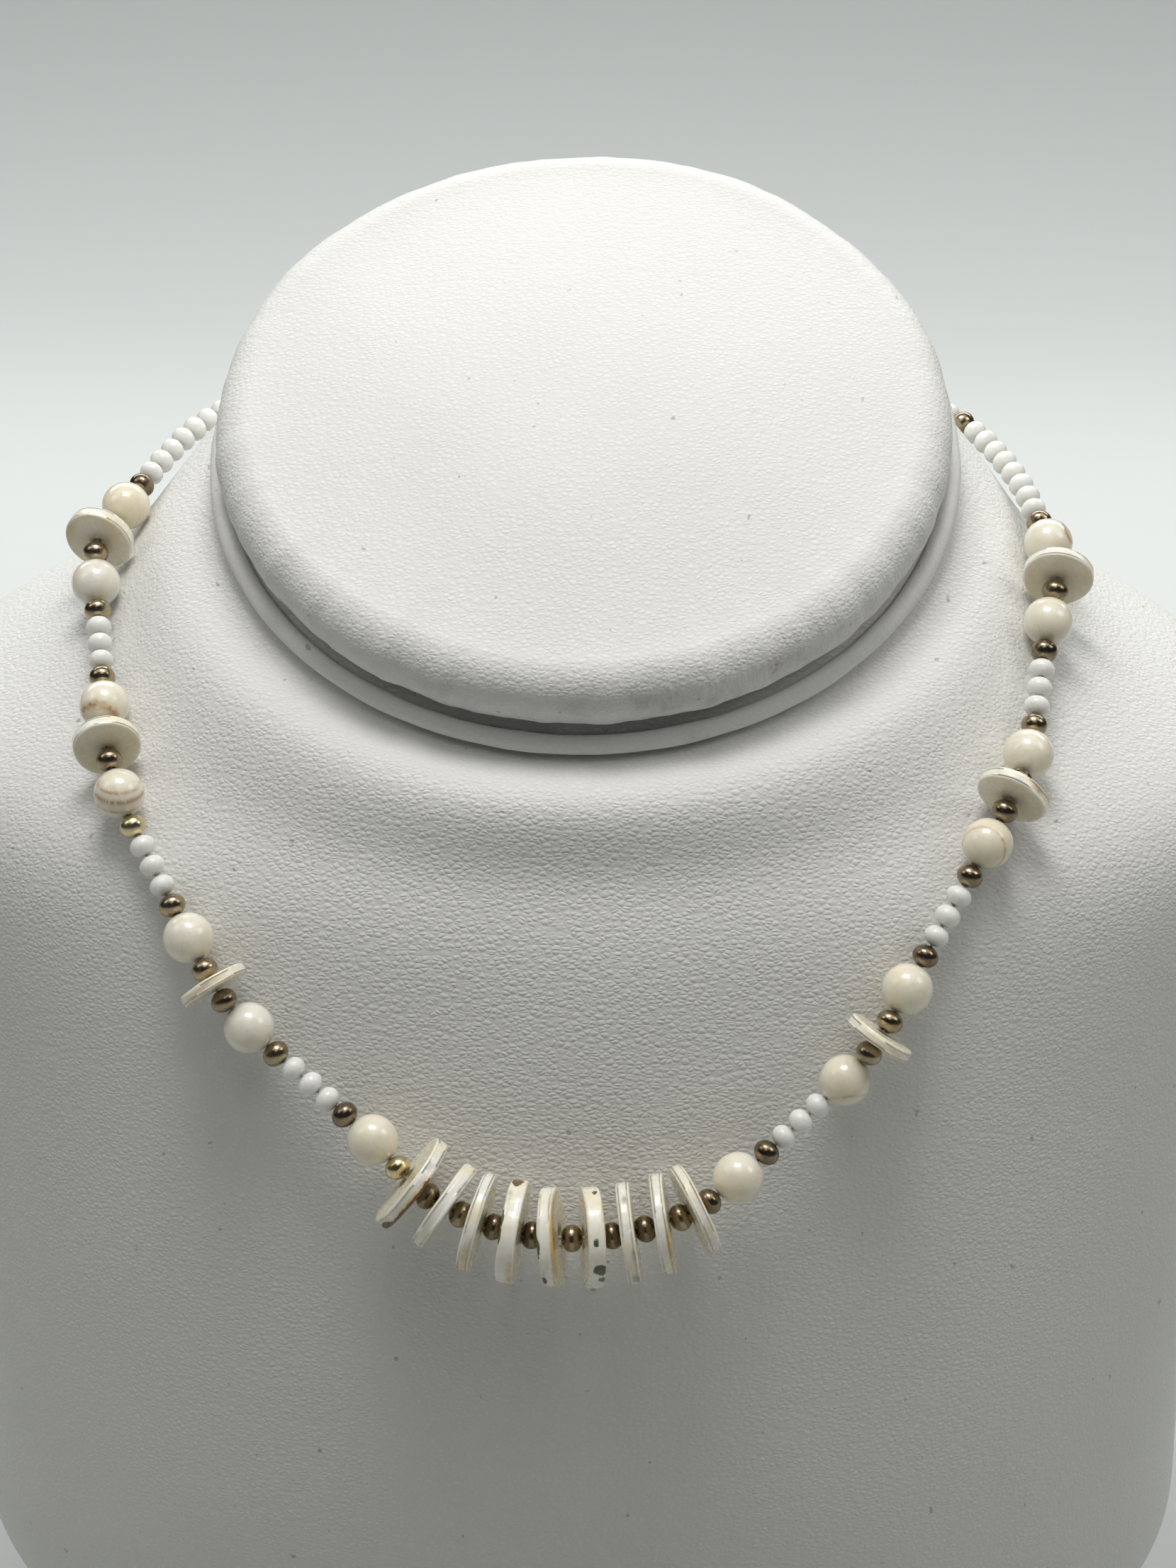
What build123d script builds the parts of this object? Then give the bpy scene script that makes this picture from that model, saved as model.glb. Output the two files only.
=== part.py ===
"""Bead necklace of nacre rounds, shell discs, bronze and white beads, resting on a padded neck bust.

Millimetres. +Z is up, +X is the viewer's right and the chest faces -Y.
The origin is the middle of the bust's flat base.
"""

from build123d import *
from math import cos, hypot, pi, radians, sin, sqrt, tan
import os

os.makedirs("parts", exist_ok=True)

# Neck bust
bust_width = 176.0  # across the shoulders
bust_depth = 96.0  # chest to back
trunk_height = 165.9  # base to the middle of the neck's top
base_edge_bevel = 1.5
cap_width = 90.0
cap_length = 87.6  # front to back along the slope
cap_slope = 34.5  # degrees, front edge lower
cap_rim_radius = 5.0
cap_crown = 4.0  # rise of the padded top over its rim
cap_setback = 0.8  # cap's middle in front of the base's middle
cap_height = 171.8  # middle of the cap's rim over the base
piping_radius = 1.25
piping_drop = 5.8  # cap's rim to the piping, square to the slope
piping_outset = 4.9  # piping's centre line outside the rim's centre line
fit_gap = 0.15

# Beads: radius, half the length along the string, and hole
round_radius = 3.0
round_bore = 0.55
bronze_radius = 1.65
bronze_half_length = 1.3
bronze_bore = 0.5
white_radius = 1.6
white_half_length = 1.27
white_bore = 0.4
thread_radius = 0.2
bead_gap = 0.13
white_gap = 0.14

# Shell discs
side_disc_radius = 4.35
side_disc_thickness = 1.5
side_disc_bore = 0.6
center_disc_radius = 6.15
center_disc_thickness = 1.7
center_disc_bore = 1.3  # wide enough for the bronze beads to nest in
disc_edge_radius = 0.25
disc_wobble = 0.045  # how far the outline wanders inwards, a share of the radius
disc_outline_points = 12

# Clasp and the way everything lies on the bust
clasp_radius = 2.1
clasp_length = 11.0
clasp_bore = 0.45
clasp_grip = 2.0  # thread that enters each end
clasp_edge_radius = 0.7
seat_gap = 0.3
disc_seat_gap = 0.35
span_lift = 0.45  # how far the string cuts in between two of its chosen points
white_beads_beside_neck = 8

# Trunk sections, bottom to top: height as a share of trunk_height, shift back and depth as shares of
# bust_depth, width as a share of bust_width, slope as a share of cap_slope
TRUNK_SECTIONS = [
    # height, back, width, depth, slope
    (0.000, 0.000, 0.750, 0.792, 0.00),
    (0.096, -0.010, 0.847, 0.896, 0.00),
    (0.229, -0.021, 0.903, 0.969, 0.03),
    (0.452, -0.018, 0.932, 0.996, 0.09),
    (0.621, -0.007, 0.960, 0.985, 0.19),
    (0.729, 0.005, 0.994, 0.973, 0.30),
    (0.790, 0.014, 0.992, 0.967, 0.39),
    (0.833, 0.019, 0.932, 0.956, 0.48),
    (0.869, 0.022, 0.778, 0.946, 0.54),
    (0.919, 0.024, 0.653, 0.958, 0.60),
    (0.963, 0.030, 0.572, 0.946, 0.77),
]

# Cap's profile over its rim: share of the rim's inner radius, share of cap_crown
CAP_CROWN_POINTS = [
    # out, rise
    (0.82, 0.20),
    (0.60, 0.60),
    (0.32, 0.90),
]

# Chosen points of the string's route, from the clasp's right end round the front to its left end.
# Its middle row is the middle disc. Each names what rests on the bust there, then its place as shares of
# bust_width, bust_depth and trunk_height. The point is then seated on the bust.
STRING_ROUTE = [
    # rests, across, back, up
    ("clasp", 0.052, 0.500, 1.040),
    ("white", 0.095, 0.494, 1.036),
    ("white", 0.172, 0.455, 1.027),
    ("white", 0.234, 0.371, 1.012),
    ("white", 0.276, 0.257, 0.998),
    ("white", 0.305, 0.130, 0.973),
    ("round", 0.324, 0.010, 0.951),
    ("side disc", 0.323, -0.045, 0.933),
    ("round", 0.322, -0.100, 0.915),
    ("round", 0.306, -0.261, 0.843),
    ("side disc", 0.290, -0.314, 0.817),
    ("round", 0.275, -0.366, 0.792),
    ("round", 0.222, -0.454, 0.701),
    ("side disc", 0.203, -0.470, 0.671),
    ("round", 0.184, -0.485, 0.640),
    ("beside", 0.113, -0.536, 0.576),
    ("center disc", 0.085, -0.562, 0.556),
    ("center disc", 0.038, -0.571, 0.540),
    ("center disc", -0.008, -0.573, 0.537),
    ("center disc", -0.056, -0.568, 0.546),
    ("center disc", -0.097, -0.557, 0.568),
    ("beside", -0.122, -0.531, 0.594),
    ("round", -0.205, -0.471, 0.660),
    ("side disc", -0.228, -0.454, 0.690),
    ("round", -0.249, -0.436, 0.718),
    ("round", -0.301, -0.336, 0.801),
    ("side disc", -0.311, -0.285, 0.825),
    ("round", -0.321, -0.233, 0.850),
    ("round", -0.339, -0.047, 0.914),
    ("side disc", -0.335, 0.006, 0.934),
    ("round", -0.328, 0.059, 0.955),
    ("white", -0.308, 0.145, 0.975),
    ("white", -0.280, 0.240, 0.995),
    ("white", -0.236, 0.365, 1.012),
    ("white", -0.172, 0.455, 1.027),
    ("white", -0.095, 0.494, 1.036),
    ("clasp", -0.052, 0.500, 1.040),
]

# Discs: size as a share of the named radius, thickness as a share of the named thickness,
# the disc's turns from square to the string in degrees, and where its outline wanders
CENTER_DISCS = [
    # size, thickness, turns about x, y and z, phase
    (1.00, 1.00, (0.0, 0.0, 17.0), 0.4),
    (0.94, 1.06, (0.0, 5.0, -7.0), 1.9),
    (0.98, 0.94, (0.0, -6.0, -4.0), 3.1),
    (1.00, 1.29, (0.0, -4.0, -3.0), 4.4),
    (0.95, 1.12, (0.0, -10.0, -4.0), 5.2),
    (0.98, 1.24, (0.0, 3.0, 7.0), 0.9),
    (1.00, 1.00, (0.0, 4.0, -1.0), 2.6),
    (0.98, 1.00, (0.0, 8.0, -3.0), 3.7),
    (0.94, 0.94, (0.0, 4.0, 1.0), 5.8),
]
SIDE_DISCS = {
    # size, thickness, turns about x, y and z, phase
    "disc_left_1": (1.00, 0.90, (4.0, 2.0, 0.0), 1.1),
    "disc_left_2": (0.97, 1.10, (-6.0, 0.0, 0.0), 2.3),
    "disc_left_3": (1.00, 1.20, (-8.0, 0.0, 0.0), 3.9),
    "disc_right_1": (0.97, 1.00, (3.0, 1.0, 0.0), 4.6),
    "disc_right_2": (1.00, 1.10, (-5.0, 0.0, 0.0), 0.2),
    "disc_right_3": (1.00, 1.10, (-8.0, 0.0, 0.0), 5.5),
}

# What hangs between one round bead and the next, going up a side
TRIPLE = ["bronze", "white", "white", "white", "bronze"]
SHORT_TRIPLE = ["bronze", "white", "white", "white"]
DISC_LINK = ["bronze", "disc", "bronze"]
LINKS = {
    "left": [TRIPLE, DISC_LINK, TRIPLE, DISC_LINK, TRIPLE, DISC_LINK],
    "right": [SHORT_TRIPLE, DISC_LINK, TRIPLE, DISC_LINK, TRIPLE, DISC_LINK],
}


def slope_plane(back, height, slope):
    """A plane whose front edge is lower by the slope, with x across the bust."""
    turn = radians(slope)
    return Plane(origin=(0, back, height), x_dir=(1, 0, 0), z_dir=(0, -sin(turn), cos(turn)))


# Bust: trunk, with a collar that the piping runs round
cap_plane = slope_plane(-cap_setback, cap_height, cap_slope)
rim_across = cap_width / 2 - cap_rim_radius
rim_along = cap_length / 2 - cap_rim_radius
piping_across = rim_across + piping_outset
piping_along = rim_along + piping_outset
shoulder_drop = piping_drop + piping_radius + fit_gap
collar_inset = piping_radius + fit_gap
collar_drop = cap_rim_radius + fit_gap

with BuildPart() as bust_form:
    for height, back, width, depth, slope in TRUNK_SECTIONS:
        with BuildSketch(slope_plane(back * bust_depth, height * trunk_height, slope * cap_slope)):
            Ellipse(width * bust_width / 2, depth * bust_depth / 2)
    with BuildSketch(cap_plane.offset(-shoulder_drop)):
        Ellipse(piping_across + piping_radius / 2, piping_along + piping_radius / 2)
    loft()
    chamfer(bust_form.faces().sort_by(Axis.Z)[0].edges(), base_edge_bevel)
    with BuildSketch(cap_plane.offset(-shoulder_drop)):
        Ellipse(piping_across - collar_inset, piping_along - collar_inset)
    extrude(amount=shoulder_drop - collar_drop)
bust_form.part.label = "bust_form"
export_step(bust_form.part, "parts/bust_form.step")

# Padded cap: a round cushion, then drawn in from front to back
cushion_radius = cap_width / 2
crown_radius = cushion_radius - cap_rim_radius
with BuildPart() as neck_cap:
    with BuildSketch(Plane.XZ):
        with BuildLine():
            crown = [(out * crown_radius, cap_rim_radius + rise * cap_crown) for out, rise in CAP_CROWN_POINTS]
            rim_top = (crown_radius, cap_rim_radius)
            top = (0, cap_rim_radius + cap_crown)
            Spline(rim_top, *crown, top, tangents=[(-1, 0), (-1, 0)])
            rim = ThreePointArc(rim_top, (cushion_radius, 0), (crown_radius, -cap_rim_radius))
            Polyline(rim @ 1, (0, -cap_rim_radius), top)
        make_face()
    revolve(axis=Axis.Z)
    scale(by=(1, cap_length / cap_width, 1))
neck_cap.part = cap_plane.location * neck_cap.part
neck_cap.part.label = "neck_cap"
export_step(neck_cap.part, "parts/neck_cap.step")

# Piping round the collar
piping_plane = cap_plane.offset(-piping_drop)
with BuildPart() as neck_piping:
    with BuildLine(piping_plane):
        piping_line = EllipticalCenterArc((0, 0), piping_across, piping_along, arc_size=360)
    with BuildSketch(Plane(origin=piping_line @ 0, x_dir=piping_plane.z_dir, z_dir=piping_line % 0)):
        Circle(piping_radius)
    sweep(path=piping_line)
neck_piping.part.label = "neck_piping"
export_step(neck_piping.part, "parts/neck_piping.step")

# The string's route, seated on the bust
trunk_skin = bust_form.faces().filter_by(GeomType.BSPLINE).sort_by(SortBy.AREA)[-1]
rest_heights = {
    "round": round_radius + seat_gap,
    "white": white_radius + seat_gap + span_lift,
    "clasp": clasp_radius + seat_gap,
    "side disc": side_disc_radius + disc_seat_gap + span_lift,
    "center disc": center_disc_radius + disc_seat_gap,
    "beside": (round_radius + center_disc_radius) / 2 + seat_gap,
}


def outward(point):
    """The bust's own outward direction nearest to a point, and the point on its skin."""
    foot = trunk_skin.closest_points(Vertex(*point))[0]
    return trunk_skin.normal_at(foot), foot


def seated(rests, across, back, up):
    """A chosen point of the route, lifted square off the bust by what rests there."""
    direction, foot = outward(Vector(across * bust_width, back * bust_depth, up * trunk_height))
    return foot + direction * rest_heights[rests]


def bend_radius(before, corner, after):
    """The largest arc that the shorter of two runs allows at their corner."""
    arriving = corner - before
    leaving = after - corner
    half_turn = radians(arriving.get_angle(leaving)) / 2
    return 0.45 * min(arriving.length, leaving.length) / tan(half_turn)


# The thread, from inside one end of the clasp round the front to the other
clasp_middle = seated("clasp", 0, *STRING_ROUTE[0][2:])
thread_end = Vector(clasp_length / 2 - clasp_grip, 0, 0)
route = [clasp_middle + thread_end]
route += [seated(*row) for row in STRING_ROUTE]
route += [clasp_middle - thread_end]
radii = [bend_radius(*route[row - 1 : row + 2]) for row in range(1, len(route) - 1)]
print("string corners, radii from", round(min(radii), 1), "to", round(max(radii), 1))

with BuildPart() as thread:
    with BuildLine() as string_line:
        FilletPolyline(*route, radius=radii)
    string = string_line.wire()
    with BuildSketch(Plane(origin=string @ 0, z_dir=string % 0)):
        Circle(thread_radius)
    sweep(path=string)
thread.part.label = "thread"
export_step(thread.part, "parts/thread.step")
print("string length", round(string.length, 1))


def bead_plane(distance):
    """A plane square to the string at a distance along it, with x away from the bust."""
    place = string.position_at(distance, position_mode=PositionMode.LENGTH)
    along = string.tangent_at(distance, position_mode=PositionMode.LENGTH)
    away = outward(place)[0]
    return Plane(origin=place, x_dir=away - along * away.dot(along), z_dir=along)


def bronze_rise(out):
    """How far a bronze bead's skin stands from its middle plane, at a distance out from the string."""
    full_half = bronze_half_length / sqrt(1 - (bronze_bore / bronze_radius) ** 2)
    return full_half * sqrt(1 - (out / bronze_radius) ** 2)


def disc_half_length(thickness, turns, bore):
    """Half the room that a tilted disc takes on the string, with a bronze bead nested in its hole's edge."""
    tilt = radians(hypot(*turns))
    edge = max(bore * cos(tilt) - thickness / 2 * sin(tilt), bronze_bore)
    return (thickness / 2 + edge * sin(tilt)) / cos(tilt) + bronze_rise(edge) - bronze_half_length


# What hangs on the string: half of each kind's room on it
half_lengths = {
    "round": sqrt(round_radius**2 - round_bore**2),
    "bronze": bronze_half_length,
    "white": white_half_length,
}
for number, (size, thickness, turns, phase) in enumerate(CENTER_DISCS, start=1):
    half_room = disc_half_length(thickness * center_disc_thickness, turns, center_disc_bore)
    half_lengths[f"disc_center_{number}"] = half_room
for name, (size, thickness, turns, phase) in SIDE_DISCS.items():
    half_lengths[name] = disc_half_length(thickness * side_disc_thickness, turns, side_disc_bore)
middle_number = (len(CENTER_DISCS) + 1) // 2


def spacing(kind, next_kind):
    """Distance between the middles of two neighbours on the string."""
    gap = white_gap if kind == next_kind == "white" else bead_gap
    return half_lengths[kind] + half_lengths[next_kind] + gap


def front_kinds(side, step):
    """What hangs on one side of the middle disc, outwards and up to the bronze bead behind the neck's edge."""
    kinds = []
    for away in range(1, middle_number):
        kinds += ["bronze", f"disc_center_{middle_number + step * away}"]
    kinds += ["bronze", "round"]
    for link_number, link in enumerate(LINKS[side]):
        kinds += [f"disc_{side}_{(link_number + 1) // 2}" if kind == "disc" else kind for kind in link]
        kinds += ["round"]
    return kinds + ["bronze"] + ["white"] * white_beads_beside_neck + ["bronze"]


def side_places(side, step, room):
    """Each bead of one side with its distance from the middle disc, filled with white ones up to the clasp."""
    places = []
    distance = 0
    previous = f"disc_center_{middle_number}"
    for kind in front_kinds(side, step):
        distance += spacing(previous, kind)
        places.append((kind, distance))
        previous = kind
    last_bronze = room - clasp_grip - bead_gap - bronze_half_length
    left_over = last_bronze - distance - 2 * spacing("bronze", "white")
    more = int(left_over / spacing("white", "white"))
    slack = (left_over - more * spacing("white", "white")) / (more + 2)
    distance += spacing("bronze", "white") + slack
    for _ in range(more + 1):
        places.append(("white", distance))
        distance += spacing("white", "white") + slack
    return places + [("bronze", last_bronze)]


# The string runs from the right to the left, so the right side lies before the middle disc
middle_point = string.closest_points(route[len(route) // 2])[0]
middle_distance = string.param_at_point(middle_point) * string.length
hung = [(f"disc_center_{middle_number}", "middle", middle_distance)]
for side, step, sign, room in (("right", 1, -1, middle_distance), ("left", -1, 1, string.length - middle_distance)):
    hung += [(kind, side, middle_distance + sign * away) for kind, away in side_places(side, step, room)]

# Round beads
round_counts = {"left": 0, "right": 0}
for kind, side, distance in hung:
    if kind == "round":
        round_counts[side] += 1
        with BuildPart() as round_bead:
            with Locations(bead_plane(distance)):
                Sphere(round_radius)
                Cylinder(round_bore, 2 * round_radius, mode=Mode.SUBTRACT)
        round_bead.part.label = f"round_bead_{side}_{round_counts[side]}"
        export_step(round_bead.part, f"parts/{round_bead.part.label}.step")


def shell_outline(radius, phase):
    """Points of a worn shell's edge, which wanders inwards from its radius."""
    points = []
    for number in range(disc_outline_points):
        angle = 2 * pi * number / disc_outline_points
        wander = 0.5 + 0.3 * cos(2 * angle + phase) + 0.2 * cos(3 * angle + 2 * phase)
        reach = radius * (1 - disc_wobble * wander)
        points.append((reach * cos(angle), reach * sin(angle)))
    return points


# Shell discs
side_sizes = (side_disc_radius, side_disc_thickness, side_disc_bore)
center_sizes = (center_disc_radius, center_disc_thickness, center_disc_bore)
disc_rows = {name: (side_sizes, row) for name, row in SIDE_DISCS.items()}
for number, row in enumerate(CENTER_DISCS, start=1):
    disc_rows[f"disc_center_{number}"] = (center_sizes, row)
for kind, side, distance in hung:
    if kind in disc_rows:
        (full_radius, full_thickness, bore), (size, thickness, turns, phase) = disc_rows[kind]
        disc_plane = bead_plane(distance).rotated(turns)
        with BuildPart() as shell_disc:
            with BuildSketch(disc_plane):
                with BuildLine():
                    Spline(*shell_outline(size * full_radius, phase), periodic=True)
                make_face()
            extrude(amount=thickness * full_thickness / 2, both=True)
            fillet(shell_disc.edges(), disc_edge_radius)
            with Locations(disc_plane):
                Cylinder(bore, 2 * full_thickness, mode=Mode.SUBTRACT)
        shell_disc.part.label = kind
        export_step(shell_disc.part, f"parts/{kind}.step")


def spacer_profile(radius, half_length, bore):
    """Half of an oval bead's section, outside its hole, in the active sketch."""
    Ellipse(radius, half_length / sqrt(1 - (bore / radius) ** 2))
    with Locations((bore, 0)):
        Rectangle(radius + bore, 4 * half_length, align=(Align.MAX, Align.CENTER), mode=Mode.SUBTRACT)


# Bronze and white spacer beads
with BuildPart() as bronze_bead:
    with BuildSketch(Plane.XZ):
        spacer_profile(bronze_radius, bronze_half_length, bronze_bore)
    revolve(axis=Axis.Z)
with BuildPart() as bronze_beads:
    with Locations(*[bead_plane(distance) for kind, side, distance in hung if kind == "bronze"]):
        add(bronze_bead.part)
bronze_beads.part.label = "bronze_beads"
export_step(bronze_beads.part, "parts/bronze_beads.step")

with BuildPart() as white_bead:
    with BuildSketch(Plane.XZ):
        spacer_profile(white_radius, white_half_length, white_bore)
    revolve(axis=Axis.Z)
with BuildPart() as white_beads:
    with Locations(*[bead_plane(distance) for kind, side, distance in hung if kind == "white"]):
        add(white_bead.part)
white_beads.part.label = "white_beads"
export_step(white_beads.part, "parts/white_beads.step")

# Clasp: a plain barrel over both ends of the thread
clasp_plane = Plane(origin=clasp_middle, x_dir=(0, 0, 1), z_dir=(1, 0, 0))
hole_depth = clasp_grip + fit_gap
with BuildPart() as clasp:
    with Locations(clasp_plane):
        Cylinder(clasp_radius, clasp_length)
    fillet(clasp.edges(), clasp_edge_radius)
    hole_middle = (clasp_length - hole_depth) / 2
    with Locations(clasp_plane.offset(hole_middle), clasp_plane.offset(-hole_middle)):
        Cylinder(clasp_bore, hole_depth, mode=Mode.SUBTRACT)
clasp.part.label = "clasp"
export_step(clasp.part, "parts/clasp.step")
print("solids on the string", len(hung))
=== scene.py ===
"""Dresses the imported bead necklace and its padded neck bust, lights them and sets the camera.

Lengths in the classes are millimetres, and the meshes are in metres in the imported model's own frame:
the origin is the middle of the bust's base, +Z is up and the chest faces -Y.
"""

import logging
import math
from dataclasses import dataclass, field
from enum import Enum

import bpy
import numpy as np
from mathutils import Matrix, Vector
from mathutils.bvhtree import BVHTree


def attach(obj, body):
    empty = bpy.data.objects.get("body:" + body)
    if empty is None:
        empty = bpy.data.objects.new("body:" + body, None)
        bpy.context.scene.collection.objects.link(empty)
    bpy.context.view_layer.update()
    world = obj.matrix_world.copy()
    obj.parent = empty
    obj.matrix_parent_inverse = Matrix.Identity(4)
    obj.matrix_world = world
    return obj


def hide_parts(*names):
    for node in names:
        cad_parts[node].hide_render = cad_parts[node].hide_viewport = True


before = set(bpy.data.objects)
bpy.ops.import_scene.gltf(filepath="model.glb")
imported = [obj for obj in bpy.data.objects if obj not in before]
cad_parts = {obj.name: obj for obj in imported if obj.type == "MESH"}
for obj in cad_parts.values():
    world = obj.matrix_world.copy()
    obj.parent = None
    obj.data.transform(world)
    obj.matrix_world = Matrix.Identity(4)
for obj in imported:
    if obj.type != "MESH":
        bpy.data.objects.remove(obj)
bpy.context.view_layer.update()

MM = 0.001
LOG = logging.getLogger("necklace")
Array = np.ndarray


# Mesh helpers


def unit(vectors: Array) -> Array:
    """Vectors divided by their lengths."""
    return vectors / np.maximum(np.linalg.norm(vectors, axis=-1, keepdims=True), 1e-12)


def circle(count: int) -> Array:
    """The angles of that many even steps round a circle, from 0."""
    return np.arange(count) * 2 * np.pi / count


def bell(values: Array, middle: float, width: float) -> Array:
    """A bell curve, exp(-((value - middle) / width)^2)."""
    return np.exp(-(((values - middle) / width) ** 2))


def grid_faces(rows: int, columns: int, close_rows: bool = False) -> Array:
    """Quads of a grid of points whose columns run round and close.

    Args:
        rows: number of rings of points.
        columns: points in each ring.
        close_rows: True where the last ring joins the first, as on a ring-shaped surface.

    Returns:
        Corner numbers, four to a face, turned so that the right-hand normal is (row step) x (column step).
    """
    row = np.arange(rows if close_rows else rows - 1)[:, None]
    column = np.arange(columns)[None, :]
    after_row = (row + 1) % rows
    after_column = (column + 1) % columns
    corners = [row * columns + column, after_row * columns + column]
    corners += [after_row * columns + after_column, row * columns + after_column]
    return np.stack([corner + 0 * column for corner in corners], axis=-1).reshape(-1, 4)


def new_piece(name: str, points: Array, faces: Array, fans: tuple = ()) -> bpy.types.Object:
    """A smooth mesh object at the origin.

    Args:
        name: the piece's name.
        points: its points in metres.
        faces: its quads.
        fans: further faces of any length, such as the lids that close its poles.

    Returns:
        The new object, linked to the scene.
    """
    mesh = bpy.data.meshes.new(name)
    polygons = faces.tolist() + [list(map(int, fan)) for fan in fans]
    mesh.from_pydata(points.reshape(-1, 3).tolist(), [], polygons)
    mesh.polygons.foreach_set("use_smooth", [True] * len(mesh.polygons))
    mesh.update()
    piece = bpy.data.objects.new(name, mesh)
    bpy.context.scene.collection.objects.link(piece)
    return piece


def store(piece: bpy.types.Object, name: str, values: Array) -> None:
    """Keeps a number or a vector for each point of a piece, for its material to read."""
    kind = "FLOAT" if values.ndim == 1 else "FLOAT_VECTOR"
    layer = piece.data.attributes.new(name, kind, "POINT")
    layer.data.foreach_set("value" if kind == "FLOAT" else "vector", values.astype(np.float32).ravel())


def store_one(piece: bpy.types.Object, name: str, value: float) -> None:
    """Keeps the same number on all the points of a piece."""
    store(piece, name, np.full(len(piece.data.vertices), value))


def ripple(points: Array, waves: int, longest: float, shortest: float, seed: int) -> Array:
    """A gentle wander between about -1 and 1, made of sine waves in random directions.

    Args:
        points: places in millimetres.
        waves: how many waves are added.
        longest: the longest wavelength in millimetres.
        shortest: the shortest wavelength in millimetres.
        seed: picks the directions and phases.

    Returns:
        One value for each point: the waves' sum over the root of twice their number.
    """
    draw = np.random.default_rng(seed)
    directions = unit(draw.normal(size=(waves, 3)))
    lengths = np.exp(draw.uniform(np.log(shortest), np.log(longest), waves))
    phases = draw.uniform(0, 2 * np.pi, waves)
    turns = points @ (directions * (2 * np.pi / lengths)[:, None]).T + phases
    return np.sin(turns).sum(axis=-1) / math.sqrt(2 * waves)


def blob(points: Array, middle: tuple, reach: tuple) -> Array:
    """A soft spot: 1 at its middle, falling as exp(-d^2) with d measured in its own reaches."""
    return np.exp(-(((points - np.array(middle)) / np.array(reach)) ** 2).sum(axis=-1))


def smoothed(values: Array, width: float, axis: int, wrap: bool) -> Array:
    """A grid blurred along one axis by a bell curve of that width in steps.

    The axis either wraps round or runs on past its ends with the slope that it has there.
    """
    reach = int(math.ceil(3 * width))
    steps = np.arange(-reach, reach + 1)
    weights = np.exp(-0.5 * (steps / width) ** 2)
    weights /= weights.sum()
    pads = [(0, 0)] * values.ndim
    pads[axis] = (reach, reach)
    ends = {"mode": "wrap"} if wrap else {"mode": "reflect", "reflect_type": "odd"}
    wide = np.pad(values, pads, **ends)
    kept = np.arange(values.shape[axis])
    return sum(weight * np.take(wide, kept + step, axis=axis) for step, weight in enumerate(weights))


@dataclass(frozen=True)
class TiltedPlane:
    """A plane across the neck: its middle's place back and up, and its slope in degrees."""

    back: float
    height: float
    slope: float

    def lifted(self, points: Array) -> Array:
        """Points given on the level, moved onto the plane.

        A point (x, y, z) goes to (x, back + y cos slope - z sin slope, height + y sin slope + z cos slope).
        """
        turn = math.radians(self.slope)
        back = self.back + points[..., 1] * math.cos(turn) - points[..., 2] * math.sin(turn)
        height = self.height + points[..., 1] * math.sin(turn) + points[..., 2] * math.cos(turn)
        return np.stack([points[..., 0], back, height], axis=-1)


CAP_PLANE = TiltedPlane(-0.8, 171.8, 34.5)


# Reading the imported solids


@dataclass
class Solid:
    """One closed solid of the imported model, with its points merged, in millimetres."""

    points: Array
    triangles: Array

    def corners(self) -> Array:
        """The three corner points of each triangle."""
        return self.points[self.triangles]

    def tree(self) -> BVHTree:
        """A tree for casting rays at the solid."""
        return BVHTree.FromPolygons(self.points.tolist(), self.triangles.tolist())


def node_solids(node: str) -> list[Solid]:
    """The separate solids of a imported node.

    The node's loose triangles are merged by place, and each point then takes the lowest number among
    the points that it is joined to until nothing changes, which gives one number to each solid.

    Args:
        node: the node's name.

    Returns:
        Its solids, from the viewer's left to the right.
    """
    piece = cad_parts[node]
    mesh = piece.data
    raw = np.empty(len(mesh.vertices) * 3, np.float32)
    mesh.vertices.foreach_get("co", raw)
    turn = np.array(piece.matrix_world)
    raw = raw.reshape(-1, 3) @ turn[:3, :3].T + turn[:3, 3]
    mesh.calc_loop_triangles()
    corners = np.empty(len(mesh.loop_triangles) * 3, np.int32)
    mesh.loop_triangles.foreach_get("vertices", corners)
    _, first, same = np.unique(np.round(raw / MM, 4), axis=0, return_index=True, return_inverse=True)
    points = raw[first] / MM
    triangles = same.ravel()[corners].reshape(-1, 3)
    label = np.arange(len(points))
    while True:
        lowest = label[triangles].min(axis=1)
        lower = label.copy()
        np.minimum.at(lower, triangles.ravel(), np.repeat(lowest, 3))
        lower = lower[lower]
        if np.array_equal(lower, label):
            break
        label = lower
    solids = []
    for number in np.unique(label[triangles[:, 0]]):
        mine = triangles[label[triangles[:, 0]] == number]
        used, compact = np.unique(mine, return_inverse=True)
        solids.append(Solid(points[used], compact.reshape(-1, 3)))
    return sorted(solids, key=lambda solid: solid.points[:, 0].mean())


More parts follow.
